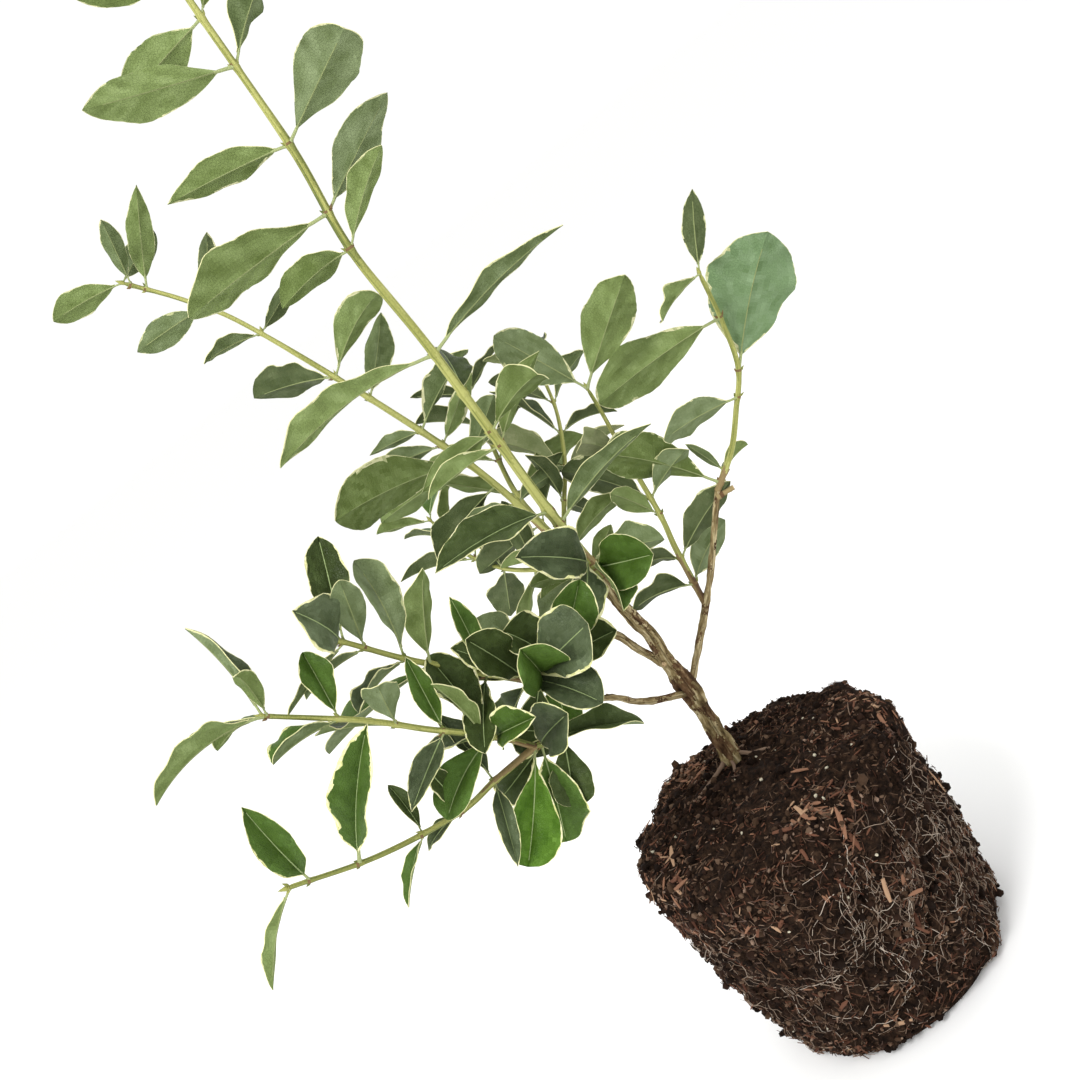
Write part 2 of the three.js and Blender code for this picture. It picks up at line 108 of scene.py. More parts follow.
# Shoots. face: the way the upper sides look, in degrees from the back over the top.
# left, right: how far the leaves stand off the shoot at its foot and at its tip.
# pairs: share of the shoot's length, blade on its left, blade on its right.
# marked: single leaves, as share, turn about the shoot from its right, spread, length,
# face, width as a share of the length. filling: more of them, drawn after the pairs.
# woody: the share of its stem with brown bark, from its foot. unders: the kinds that its leaves'
# undersides are dealt from. upper_at, under_at: the kinds of single sides, by place among its leaves.
SHOOTS = {
    "leader": dict(
        seed=1546, radii=(2.2, 1.2), face=25, width=0.37, left=(88, 90), right=(84, 56),
        woody=0.015, unders=["olive", "olive", "greyed"], upper_at={0: "fresh", 1: "grey", 2: "deep"},
        route=[
            (3, 10, 229), (2, 8, 270), (4, 4, 350), (3, 2, 401), (9, 0, 445), (12, -8, 506), (15, -10, 528),
        ],
        marked=[
            (0.02, 50, 95, 34, 160, 0.8), (0.03, 140, 45, 42, 150, 0.62), (0.13, 150, 74, 62, 110, 0.4),
            (0.4, 4, 82, 73, 42, 0.2), (0.33, 277, 60, 34, 40, 0.5), (0.02, 160, 60, 32, 30, 0.4),
        ],
        pairs=[
            (0.02, 27, 24), (0.11, 0, 58), (0.25, 38, 42), (0.27, 42, 43), (0.4, 0, 0),
            (0.575, 46, 43), (0.63, 69, 54), (0.725, 56, 57), (0.83, 60, 46), (0.895, 48, 32),
            (0.945, 36, 32), (0.99, 30, 26),
        ],
        filling=[
            (0.035, 200, 112, 40, 30, 0.5), (0.035, 350, 118, 36, 30, 0.55), (0.03, 95, 112, 36, 30, 0.55),
            (0.04, 130, 118, 32, 150, 0.6), (0.4, 172, 88, 77, 62, 0.26),
        ]),
    "upper_left": dict(
        seed=1523, radii=(1.9, 0.9), face=25, width=0.38, left=(78, 60), right=(84, 84),
        woody=0.12, unders=["olive", "greyed", "greyed", "dusk"], under_at={0: "olive"},
        route=[(2, 12, 211), (-8, 50, 277), (-22, 60, 325), (-51, 70, 401), (-66, 72, 428), (-84, 76, 452)],
        marked=[(0.37, 149, 64, 68, 20, 0.46)],
        pairs=[
            (0.25, 30, 34), (0.36, 54, 34), (0.42, 37, 40), (0.46, 30, 48), (0.56, 0, 43), (0.62, 48, 46),
            (0.76, 30, 28), (0.86, 37, 35), (0.96, 0, 46), (0.985, 0, 33), (1, 35, 30),
        ],
        filling=[(0.86, 20, 125, 32, 25, 0.5), (0.3, 170, 95, 44, 25, 0.45)]),
    "right": dict(
        seed=1340, radii=(1.5, 0.9), face=20, width=0.36, left=(90, 95), right=(40, 50),
        woody=0.04, unders=["dusk", "greyed", "olive"], under_at={0: "bluish"},
        route=[(69, 38, 219), (85, 38, 230), (97, 36, 244), (108, 32, 260), (113, 28, 282), (115, 20, 306)],
        marked=[(0.53, 11, 17, 62, 15, 0.66)],
        pairs=[(0.04, 60, 26), (0.09, 22, 0), (0.42, 48, 0), (0.78, 65, 0), (1, 35, 35)]),
    "knot_twig": dict(
        seed=747, radii=(1.5, 0.8), face=20, width=0.47, left=(75, 40), right=(75, 52),
        woody=0.16, unders=["dusk", "greyed", "pale", "olive"],
        route=[(33, 30, 182), (38, 38, 209), (42, 42, 226), (46, 44, 260), (48, 40, 279), (49, 36, 294)],
        pairs=[(0.09, 41, 38), (0.2, 28, 42), (0.4, 30, 0), (0.48, 44, 30), (0.68, 28, 0), (1, 48, 56)]),
    "back_left": dict(
        seed=972, radii=(1.5, 1.4), face=140, width=0.62, left=(60, 60), right=(60, 60),
        woody=0.6, upper_at={0: "grey", 1: "grey"},
        route=[(-24, 0, 212), (-38, -20, 221), (-47, -30, 226)],
        marked=[
            (1, 51, 95, 40, 150, 0.75), (0.99, 101, 92, 35, 150, 0.7), (1, 320, 48, 36, 120, 0.5),
            (0.99, 304, 87, 36, 20, 0.8), (1, 355, 42, 41, 140, 0.5), (1, 275, 54, 34, 120, 0.4),
            (1, 214, 105, 31, 130, 0.7),
        ],
        pairs=[(0.55, 30, 34), (0.8, 34, 38)],
        filling=[(0.4, 20, 85, 40, 140, 0.6), (0.6, 60, 100, 34, 150, 0.6)]),
    "left": dict(
        seed=597, radii=(1.5, 1), face=80, width=0.38, left=(75, 60), right=(60, 50),
        woody=0.1,
        route=[(-47, -30, 226), (-60, -34, 243), (-77, -40, 266), (-91, -46, 289), (-95, -48, 294)],
        marked=[(0.93, 53, 37, 32, 140, 0.75)],
        pairs=[(0.22, 36, 34), (0.5, 54, 48), (0.62, 30, 43), (0.8, 32, 36), (0.92, 34, 42)]),
    "front_left": dict(
        seed=1229, radii=(1.4, 1.3), face=140, width=0.55, left=(60, 60), right=(60, 60),
        woody=0.9, upper_at={0: "lime", 1: "fresh", 2: "deep"},
        route=[(-38, -16, 199), (-51, -30, 199), (-61, -40, 206)],
        marked=[(1, 159, 62, 47, 150, 0.5), (0.89, 166, 100, 42, 140, 0.6), (0.89, 69, 130, 42, 130, 0.4)],
        pairs=[(0.5, 30, 32), (0.89, 28, 36)]),
    "low_left": dict(
        seed=1001, radii=(1.4, 0.9), face=92, width=0.45, left=(70, 45), right=(50, 50),
        woody=0.12,
        route=[(-61, -40, 206), (-69, -50, 223), (-86, -56, 244), (-101, -62, 264), (-126, -70, 291)],
        marked=[(0.19, 52, 87, 30, 150, 0.65)],
        pairs=[
            (0.21, 36, 40), (0.24, 30, 34), (0.38, 36, 32), (0.56, 32, 34), (0.76, 30, 28), (0.985, 27, 28),
            (1, 48, 43),
        ]),
    "lowest_left": dict(
        seed=122, radii=(1.4, 0.9), face=105, width=0.4, left=(40, 75), right=(80, 60),
        woody=0.1, upper_at={0: "fresh"},
        route=[(-61, -40, 206), (-80, -50, 209), (-98, -56, 210), (-129, -66, 220), (-160, -76, 236)],
        marked=[(0.75, 18, 100, 62, 140, 0.34), (0.92, 7, 63, 42, 150, 0.4), (0.99, 193, 73, 45, 80, 0.2)],
        pairs=[(0.2, 34, 36), (0.36, 26, 30), (0.52, 28, 24)]),
    "middle": dict(
        seed=31, radii=(1.8, 0.9), face=30, width=0.42, left=(75, 60), right=(75, 60),
        woody=0.2, unders=["dusk", "dusk", "olive"],
        route=[(2, 12, 204), (1, 30, 220), (-2, 50, 243), (-4, 80, 266), (2, 105, 291), (8, 118, 314)],
        pairs=[(0.3, 34, 38), (0.45, 42, 36), (0.6, 44, 46), (0.74, 38, 44), (0.88, 34, 36), (1, 30, 34)]),
    "middle_left": dict(
        seed=57, radii=(1.2, 0.8), face=60, width=0.42, left=(70, 50), right=(70, 50),
        woody=0.05, unders=["dusk", "olive"],
        route=[(0, 42, 233), (-14, 52, 236), (-30, 72, 243), (-42, 95, 257), (-46, 112, 277)],
        pairs=[(0.25, 32, 36), (0.45, 40, 38), (0.65, 38, 42), (0.83, 34, 32), (1, 28, 32)]),
    "middle_right": dict(
        seed=83, radii=(1.2, 0.8), face=60, width=0.42, left=(70, 50), right=(70, 50),
        woody=0.05, unders=["dusk", "greyed", "pale"],
        route=[(-1, 48, 241), (10, 62, 252), (24, 76, 266), (36, 92, 284), (42, 100, 302)],
        pairs=[(0.25, 34, 30), (0.45, 40, 36), (0.65, 40, 34), (0.83, 34, 30), (1, 30, 28)]),
}

MASSES = {
    "foliage_leader": ["leader"],
    "foliage_right": ["right"],
    "foliage_knot_twig": ["knot_twig"],
    "foliage_back_left": ["back_left", "left"],
    "foliage_front_left": ["front_left", "low_left", "lowest_left"],
    "foliage_upper_left": ["upper_left"],
    "foliage_middle": ["middle", "middle_left", "middle_right"],
}


# Plain maths

def mix(start, end, share):
    return start + (end - start) * share


def unit(vector):
    vector = np.asarray(vector, float)
    return vector / np.linalg.norm(vector, axis=-1, keepdims=True)


def dealt(values, last, first=0):
    """Whole numbers from first to last, the nearest to the values"""
    return np.clip(np.round(values), first, last).astype(int)


def bell(distance):
    return np.exp(-(distance**2))


def turns(count):
    """Angles spread evenly around a circle"""
    return np.arange(count) / count * 2 * math.pi


def outward_of(right, front, angle):
    return right * math.cos(angle) + front * math.sin(angle)


def joined(*parts):
    """Points from their coordinates, each of which may be one for whole rows or columns"""
    return np.stack(np.broadcast_arrays(*parts), axis=-1)


# The stream of draws that the solids' leaves are grown by
SEED_SPREAD = 7919
STREAM_FACTOR = 16807
STREAM_PRIME = 2147483647


def stream(seed):
    """Draws between 0 and 1, the same in each run for a seed"""
    state = seed * SEED_SPREAD
    while True:
        state = state * STREAM_FACTOR % STREAM_PRIME
        yield state / STREAM_PRIME


class Ripples:
    """Smooth noise of about unit size, made of waves in all directions"""

    def __init__(self, rng, short, long, dimensions=3, count=22):
        ways = unit(rng.normal(size=(count, dimensions)))
        lengths = np.exp(rng.uniform(math.log(short), math.log(long), count))
        self.waves = ways * (2 * math.pi / lengths)[:, None]
        self.phases = rng.uniform(0, 2 * math.pi, count)

    def __call__(self, points):
        heights = np.sin(points @ self.waves.T + self.phases).sum(-1)
        return heights * math.sqrt(2 / len(self.phases))


class Route:
    """A smooth curve through points, its parameter the share of their whole length"""

    def __init__(self, points):
        self.points = np.array(points, float)
        self.spans = np.linalg.norm(np.diff(self.points, axis=0), axis=1)
        self.length = self.spans.sum()

    def at(self, shares):
        ends = np.cumsum(self.spans)
        travelled = np.clip(np.atleast_1d(shares), 0, 1) * self.length
        span = np.minimum(np.searchsorted(ends, travelled), len(ends) - 1)
        part = ((travelled - ends[span]) / self.spans[span] + 1)[:, None]
        before, beyond = 2 * self.points[[0, -1]] - self.points[[1, -2]]
        points = np.vstack([before, self.points, beyond])
        a, b, c, d = (points[span + step] for step in range(4))
        square, cube = 2 * a - 5 * b + 4 * c - d, 3 * b - a - 3 * c + d
        return (2 * b + (c - a) * part + square * part**2 + cube * part**3) / 2

    def axes(self, shares):
        """Along the route, to its right and to its front, at each share"""
        shares = np.atleast_1d(shares)
        along = unit(self.at(np.minimum(shares + 0.01, 1)) - self.at(np.maximum(shares - 0.01, 0)))
        right = unit(np.cross(along, (0, -1, 0)))
        return along, right, np.cross(right, along)

    def axes_at(self, share):
        return [axis[0] for axis in self.axes(share)]


# Meshes

def numbered(prefix, count):
    return [f"{prefix}_{step}" for step in range(count)]


def linked(name, data):
    """An object of some data, in the scene"""
    new = bpy.data.objects.new(name, data)
    bpy.context.scene.collection.objects.link(new)
    return new


FLIPPED = [0, 3, 2, 1]


def woven(index, closed):
    """Faces between rows and columns of numbered points"""
    after = np.roll(index, -1, axis=-1) if closed else index[..., 1:]
    here = index if closed else index[..., :-1]
    corners = [here[..., :-1, :], after[..., :-1, :], after[..., 1:, :], here[..., 1:, :]]
    return np.stack(corners, axis=-1).reshape(-1, 4)


def around(centres, right, front, radii, angles):
    """Rings of points around centres"""
    out = right[:, None] * np.cos(angles)[:, None] + front[:, None] * np.sin(angles)[:, None]
    return centres[:, None] + out * radii[..., None]


class Shape:
    """The points and faces of one piece, gathered before its mesh is made"""

    def __init__(self, name, palette):
        self.name = name
        self.palette = palette
        self.points, self.faces, self.slots, self.maps = [], [], [], []
        self.count = 0

    def add(self, points, faces, slots, uv=None):
        points = np.asarray(points, float).reshape(-1, 3)
        faces = np.asarray(faces, int)
        self.points.append(points)
        self.faces.append(faces + self.count)
        self.slots.append(np.broadcast_to(slots, len(faces)).astype(np.int32))
        self.maps.append(np.zeros((len(points), 2)) if uv is None else np.reshape(uv, (-1, 2)))
        self.count += len(points)

    def add_grid(self, points, slots, uv=None, closed=False, flip=False):
        """A sheet of rows and columns of points, which may close around"""
        faces = woven(np.arange(points[..., 0].size).reshape(points.shape[:2]), closed)
        self.add(points, faces[:, FLIPPED] if flip else faces, slots, uv)

    def add_tube(self, centres, right, front, radii, slots, sides=None):
        """A closed tube, its radii by centre, and also by side where sides isn't given"""
        right, front = (np.broadcast_to(axis, centres.shape) for axis in (right, front))
        if sides:
            radii = np.repeat(radii[:, None], sides, axis=1)
        sides = radii.shape[1]
        points = around(centres, right, front, radii, turns(sides))
        self.add_grid(points, slots, closed=True, flip=True)
        ring = np.arange(sides)
        after = np.roll(ring, -1)
        for end, first, second in ((0, ring, after), (-1, after, ring)):
            self.add_cap(points[end], centres[end], first, second, np.ravel(slots)[end])

    def add_cap(self, ring, middle, first, second, slot):
        faces = np.stack([np.full(len(ring), len(ring)), first, second], axis=-1)
        self.add(np.vstack([ring, middle]), faces, slot)

    def slot(self, name):
        """The number of a material in the piece's palette"""
        return self.palette.index(name)

    def slots_of(self, prefix, count):
        return np.array([self.slot(name) for name in numbered(prefix, count)])

    def make(self, smooth=True):
        mesh = bpy.data.meshes.new(self.name)
        points = np.concatenate(self.points) * MM
        mesh.vertices.add(len(points))
        mesh.vertices.foreach_set("co", points.astype(np.float32).ravel())
        corners = np.concatenate([block.ravel() for block in self.faces])
        sizes = np.concatenate([np.full(len(block), block.shape[1]) for block in self.faces])
        mesh.loops.add(len(corners))
        mesh.polygons.add(len(sizes))
        starts = np.concatenate([[0], np.cumsum(sizes)[:-1]])
        mesh.polygons.foreach_set("loop_start", starts.astype(np.int32))
        mesh.polygons.foreach_set("vertices", corners.astype(np.int32))
        mesh.polygons.foreach_set("material_index", np.concatenate(self.slots))
        mesh.polygons.foreach_set("use_smooth", np.full(len(sizes), smooth))
        mesh.update(calc_edges=True)
        layer = mesh.uv_layers.new(name="Lay")
        layer.data.foreach_set("uv", np.concatenate(self.maps)[corners].astype(np.float32).ravel())
        for name in self.palette:
            mesh.materials.append(MATERIALS[name])
        piece = linked(self.name, mesh)
        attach(piece, "root")
        return piece


# Materials

def linear(hex_colour):
    """A colour's linear values, with alpha, from its hexadecimal name"""
    parts = [int(hex_colour[i:i + 2], 16) / 255 for i in (1, 3, 5)]
    return [v / 12.92 if v <= 0.04045 else ((v + 0.055) / 1.055) ** 2.4 for v in parts] + [1]


def between(start, end, share):
    """The colour at a share of the way between two, all by their hexadecimal names"""
    parts = [mix(int(start[i:i + 2], 16), int(end[i:i + 2], 16), share) for i in (1, 3, 5)]
    return "#" + "".join(f"{round(part):02x}" for part in parts)


class Nodes:
    """A material's nodes, with the few links that the surfaces here need"""

    def __init__(self, name):
        self.material = bpy.data.materials.new(name)
        self.material.use_nodes = True
        self.tree = self.material.node_tree
        self.shader = self.tree.nodes["Principled BSDF"]

    def node(self, kind, inputs=(), **settings):
        node = self.tree.nodes.new("ShaderNode" + kind)
        for key, value in settings.items():
            setattr(node, key, value)
        for key, value in dict(inputs).items():
            if isinstance(value, bpy.types.NodeSocket):
                self.tree.links.new(value, node.inputs[key])
            else:
                node.inputs[key].default_value = value
        return node

    def link(self, output, socket):
        self.tree.links.new(output, self.shader.inputs[socket])

    def place(self, stretch=None):
        """Object coordinates, or the piece's own map stretched along it"""
        coordinates = self.node("TexCoord")
        if stretch is None:
            return coordinates.outputs["Object"]
        scaled = self.node("Mapping", {"Vector": coordinates.outputs["UV"], "Scale": stretch})
        return scaled.outputs["Vector"]

    def noise(self, where, size, detail=4, roughness=0.55):
        """Noise whose features are about size millimetres"""
        return self.node("TexNoise", {"Vector": where, "Scale": 1 / (size * MM), "Detail": detail,
                                      "Roughness": roughness}).outputs["Fac"]

    def spread(self, value, low, high, start=0.3, end=0.7):
        inputs = {"Value": value, "From Min": start, "From Max": end, "To Min": low, "To Max": high}
        return self.node("MapRange", inputs).outputs["Result"]

    def ramp(self, value, colours, start=0.3, end=0.7):
        node = self.node("ValToRGB", {"Fac": value})
        stops = node.color_ramp.elements
        while len(stops) < len(colours):
            stops.new(0.5)
        for i, colour in enumerate(colours):
            stops[i].position = mix(start, end, i / (len(colours) - 1))
            stops[i].color = linear(colour)
        return node.outputs["Color"]

    def bump(self, heights, strength, distance):
        """Bumps from several heights, each on top of the one before"""
        normal = None
        for height in heights:
            inputs = {"Height": height, "Strength": strength, "Distance": distance * MM}
            if normal is not None:
                inputs["Normal"] = normal
            normal = self.node("Bump", inputs).outputs["Normal"]
        self.link(normal, "Normal")


LEAF_SPECULAR = 0.16
GRAIN_SPECULAR = 0.1


def leaf_surface(name, colour, roughness, net=0.9):
    """A leaf's surface of one colour, its fine net of veins and uneven gloss in its nodes"""
    nodes = Nodes(name)
    nodes.shader.inputs["Base Color"].default_value = linear(colour)
    nodes.shader.inputs["Specular IOR Level"].default_value = LEAF_SPECULAR
    where = nodes.place()
    cells = nodes.node("TexVoronoi", {"Vector": where, "Scale": 1 / (net * MM)}, feature="DISTANCE_TO_EDGE")
    veins = nodes.spread(cells.outputs["Distance"], 0, 1, 0, 0.12)
    nodes.link(nodes.spread(nodes.noise(where, 5), roughness - 0.08, roughness + 0.1), "Roughness")
    nodes.bump([nodes.noise(where, 2.4), nodes.noise(where, 0.8), veins], 0.85, 0.17)
    return nodes.material


def grain_surface(name, colours, roughness, size, relief, stretch=None):
    """A surface of one colour, or several that run into each other, in grain of a size"""
    nodes = Nodes(name)
    where = nodes.place(stretch)
    coarse = nodes.noise(where, size, 6, 0.62)
    fine = nodes.noise(where, size / 4, 5, 0.6)
    nodes.shader.inputs["Specular IOR Level"].default_value = GRAIN_SPECULAR
    if isinstance(colours, str):
        nodes.shader.inputs["Base Color"].default_value = linear(colours)
    else:
        nodes.link(nodes.ramp(coarse, colours), "Base Color")
    nodes.link(nodes.spread(fine, roughness - 0.12, min(roughness + 0.1, 1)), "Roughness")
    nodes.bump([coarse, fine], 0.7, relief)
    return nodes.material


# How many tones each kind of leaf side has, in even steps from its darkest to its palest
TONES = 10
UPPER = {
    "deep": ("#2c3811", "#54643a"), "grey": ("#3c472c", "#6d7a5a"), "fresh": ("#3c5518", "#5c7a37"),
    "lime": ("#3e600f", "#6d933c"),
}
# The shaded kind is the olive undersides darkened: painted shade
UNDER = {
    "olive": ("#5b6b35", "#889961"), "greyed": ("#546239", "#818f67"), "bluish": ("#617a50", "#859d77"),
    "pale": ("#737f50", "#a0a57d"), "dusk": ("#404c29", "#68734f"),
}
# Other parts of leaves and stems: their tones, roughness and the width of their veins' net
PLANT_TONES = {
    "cream": (["#eae6ba", "#dedca4", "#cbcc8a", "#abb26e"], 0.5, 1.4),
    "under_cream": (["#d4d3a6", "#b0b583"], 0.6, 1.4),
    "rib": (["#a2b37c"], 0.5),
    "under_rib": (["#929c68"], 0.6),
    "stalk": (["#a3ad78"], 0.6),
    "stem": (["#adae68", "#999b56", "#828748", "#67703a", "#8f7c55", "#755f3e", "#594430"], 0.55, 2),
}
# Loose grains of one colour each: their tones, roughness, size of grain and relief
LOOSE_TONES = {
    "crumb": (["#1a100a", "#2d1e16", "#473528", "#685343", "#8e7665"], 0.93, 1.6, 0.5),
    "chip": (["#4a2e22", "#674535", "#89644e", "#ab8a6e", "#2c1b13"], 0.82, 1.8, 0.4),
    "perlite": (["#cdc5ae"], 0.9, 1.0, 0.4),
    "root": (["#9c8a79", "#7b6656", "#c6b7a7", "#55433a"], 0.8, 1.5, 0.2),
}
# Patterned surfaces: all their colours as one tone, roughness, size of grain, relief, stretch
PATTERNED = {
    "bark": ([["#2f2416", "#6a593b", "#99875f", "#d0c097", "#85744f"]], 0.8, 3.0, 1.2, (1, 0.2, 1)),
    "bark_brown": ([["#2a1c12", "#513b28", "#775c41", "#b09871"]], 0.85, 2.4, 1.3, (1, 0.3, 1)),
    "cut_wood": ([["#a98a63", "#c9b089", "#8f6e4b"]], 0.8, 1.6, 0.3),
    "soil": ([["#120a06", "#20150e", "#33241a", "#4d392b"]], 0.95, 2.8, 1.6),
}
MATERIALS = {}


def add_materials(surface, parts):
    """A material for each tone of each part, numbered where the part has several"""
    for part, (tones, *look) in parts.items():
        for step, tone in enumerate(tones):
            name = f"{part}_{step}" if len(tones) > 1 else part
            MATERIALS[name] = surface(name, tone, *look)


for side, kinds, look in (("upper", UPPER, (0.42, 0.9)), ("under", UNDER, (0.68, 1.2))):
    for kind, ends in kinds.items():
        tones = [between(*ends, step / (TONES - 1)) for step in range(TONES)]
        add_materials(leaf_surface, {f"{side}_{kind}": (tones, *look)})
add_materials(leaf_surface, PLANT_TONES)
add_materials(grain_surface, LOOSE_TONES)
add_materials(grain_surface, PATTERNED)


# Leaves

# The length of a row of faces on a blade, and the fewest and most rows it may have
BLADE_STEP = 1.5
LEAST_ROWS = 22
MOST_ROWS = 56
# Columns of faces on a half blade, out from its midrib: the rib, green ones and cream ones
GREEN_STRIPS = 7
CREAM_STRIPS = 3
HALF_COLUMNS = 1 + GREEN_STRIPS + CREAM_STRIPS
# Each column's number on a whole blade, out from its midrib to both sides
STRIPS = np.abs(np.arange(-HALF_COLUMNS, HALF_COLUMNS) + 0.5).astype(int)

BLADE_THICKNESS = 0.32
# The midrib's depth and half width, at the blade's foot and at its tip, and its dip into the top
RIB_DEPTH = (0.75, 0.15)
RIB_WIDTH = (0.34, 0.15)
RIB_DIP = 0.12
SIDE_VEINS = 7
# How far a side vein leans towards the tip on its way out, in spaces between veins
VEIN_SLANT = 1.5
# How high the quilting and the waves of the edge are, and how far the outline wobbles, as
# shares of the half blade's width
QUILTING = 0.05
EDGE_WAVES = 0.09
WOBBLE = 0.035
TEETH = 12
TOOTH_DEPTH = 0.022
# How much the blade's slope falls off from its midrib to its edge, as a share of its fold
BENDS = (-1.3, -0.5)
# Cream margins, narrow to wide, as shares of the half blade, and how many leaves have each
MARGINS = [(0.012, 0.03), (0.04, 0.07), (0.075, 0.12)]
MARGIN_SHARES = [0.25, 0.45, 0.3]
# The play of a margin between the two halves, and how jagged it is
MARGIN_PLAY = (0.5, 1.4)
JAG = 0.38
FINE_JAG = 0.24
LEAST_MARGIN = 0.13
# A petiole's thickness as a share of the blade's length, its limits, and its profile
PETIOLE_THICKNESS = 0.013
PETIOLE_LIMITS = (0.42, 0.8)
PETIOLE_PROFILE = np.array([1.5, 1.25, 1, 0.92, 0.9, 0.9, 0.8, 0.5])
PETIOLE_SIDES = 8

# What makes a face's tone: its mean, how much patches, grain and veins shift it, how wide the
# veins are in spaces between them, and the play from leaf to leaf
UPPER_LOOK = (3.3, 1.0, 1.0, 1.0, 0.07, (-2, 1.8))
UNDER_LOOK = (4.3, 1.3, 0.6, 1.1, 0.05, (-2.6, 2.4))
# By how many tones specks vary, feathers near the margin are paler, and streaks darker
SPECKS = 0.4
FEATHERS = 1.2
STREAKS = 3.0

# The kinds that upper sides are dealt from, and undersides where their shoot names none
UPPERS = ["deep", "deep", "grey", "fresh"]
UNDERS = ["olive", "greyed"]


def turned(vector, axis, angle):
    along = axis * (axis @ vector) * (1 - math.cos(angle))
    return vector * math.cos(angle) + np.cross(axis, vector) * math.sin(angle) + along


def leaf_of(shoot, row, draw, loose):
    """One leaf of a shoot by the rule of the solids. Where it is loose, its place and width vary."""
    at, turn, spread, length, face, width = row
    chance = [next(draw) - 0.5 for _ in range(7)]
    turn, spread, face = (
        math.radians(angle + loose * play * part)
        for angle, play, part in zip((turn, spread, face), LOOSE_PLAY, chance))
    along, right, front = shoot["curve"].axes_at(at)
    direction = along * math.cos(spread) + outward_of(right, front, turn) * math.sin(spread)
    upper = np.array([FACE_ASIDE * math.sin(face), math.cos(face), FACE_UP * math.sin(face)])
    upper = unit(upper - direction * (upper @ direction))
    plain_roundness = ROUNDNESS["broad" if shoot["width"] > BROAD_FROM else "slim"]
    return dict(
        foot=shoot["curve"].at(at)[0], direction=direction,
        upper=turned(upper, direction, math.radians(ROLL_PLAY * chance[4])),
        length=length, half_width=0.5 * width * length * (1 + loose * WIDTH_PLAY * chance[3]),
        curl=math.radians(CURL + CURL_PLAY * chance[5]),
        fold=math.radians(FOLD + FOLD_PLAY * chance[6]),
        roundness=plain_roundness + ROUNDNESS["play"] * chance[3])


def leaves_of(shoot):
    draw = stream(shoot["seed"])
    leaves = [leaf_of(shoot, row, draw, 0) for row in shoot.get("marked", [])]
    for number, (at, left, right) in enumerate(shoot["pairs"]):
        pair_turn = PAIR_TURN if number % 2 else -PAIR_TURN
        for length, turn, spreads in ((left, 180, shoot["left"]), (right, 0, shoot["right"])):
            row = (at, turn + pair_turn, mix(*spreads, at), length, shoot["face"], shoot["width"])
            leaf = leaf_of(shoot, row, draw, 1)
            if length > 0:
                leaves.append(leaf)
    return leaves + [leaf_of(shoot, row, draw, 0) for row in shoot.get("filling", [])]


def blade_outline(share, roundness):
    rise = 0.9 + 0.4 * roundness
    fall = 1.0 - 0.4 * roundness
    top = (rise / (rise + fall)) ** rise * (fall / (rise + fall)) ** fall
    return share**rise * (1 - share) ** fall / top


def spine(leaf, shares):
    """The midrib's points and the blade's directions up, along the curl"""
    curl = leaf["curl"]
    reach = leaf["length"] / 2 / math.sin(curl / 2)
    heading = (curl * (0.5 - shares))[:, None]
    centre = leaf["foot"] + leaf["direction"] * reach * (math.sin(curl / 2) - np.sin(heading))
    centre = centre + leaf["upper"] * reach * (np.cos(heading) - math.cos(curl / 2))
    return centre, leaf["upper"] * np.cos(heading) - leaf["direction"] * np.sin(heading)


def half_blade(leaf, along, rng, margin):
    """How far the columns of one half of the blade lie from its midrib, and the half's width"""
    outline = np.maximum(blade_outline(along, leaf["roundness"]), 0) * leaf["half_width"]
    wobble = 1 + WOBBLE * Ripples(rng, 0.3, 0.9, 1, 6)(along[:, None])
    notches = np.abs(np.sin(math.pi * TEETH * along)) - 0.6
    teeth = 1 + TOOTH_DEPTH * np.clip((along - 0.25) / 0.2, 0, 1) * notches
    half = np.maximum(outline * wobble * teeth, 0.55 * (1 - along) ** 2 + 0.12)
    rib = np.minimum(mix(*RIB_WIDTH, along), 0.3 * half)
    jag = 1 + JAG * Ripples(rng, 0.12, 0.6, 1, 8)(along[:, None]) + FINE_JAG * rng.normal(size=len(along))
    cream = np.clip(margin * leaf["half_width"] * np.maximum(jag, 0.25), LEAST_MARGIN, None)
    border = np.maximum(half - cream, mix(rib, half, 0.3))
    inner = [mix(rib, border, k / GREEN_STRIPS) for k in range(GREEN_STRIPS + 1)]
    outer = [mix(border, half, k / CREAM_STRIPS) for k in range(1, CREAM_STRIPS + 1)]
    return np.stack(inner + outer, axis=1), half


def streaks_of(rng, along, strip):
    """How strong the darker streaks of an underside are: long and slanted, near its midrib"""
    found = np.zeros(along.shape)
    for _ in range(rng.choice([0, 1, 2], p=[0.45, 0.4, 0.15])):
        middle = rng.uniform(0.25, 0.75)
        reach = rng.uniform(0.08, 0.2)
        side = rng.choice([-1, 1])
        line = side * (rng.uniform(0.5, 2) + rng.uniform(4, 9) * (along - middle + 0.5 * reach))
        width = rng.uniform(0.5, 1.1) + 0.25 * Ripples(rng, 0.04, 0.15, 1, 5)(along[..., None])
        taper = np.clip(1.4 - 1.4 * np.abs(along - middle) / reach, 0, 1)
        close = np.clip(1.2 - np.abs(strip - line) / np.maximum(width, 0.2), 0, 1)
        found = np.maximum(found, taper * close)
    return found


def from_vein(along, aside):
    """How far places lie from the nearest side vein, in spaces between veins"""
    return np.abs((SIDE_VEINS * along - VEIN_SLANT * aside + 0.5) % 1 - 0.5)


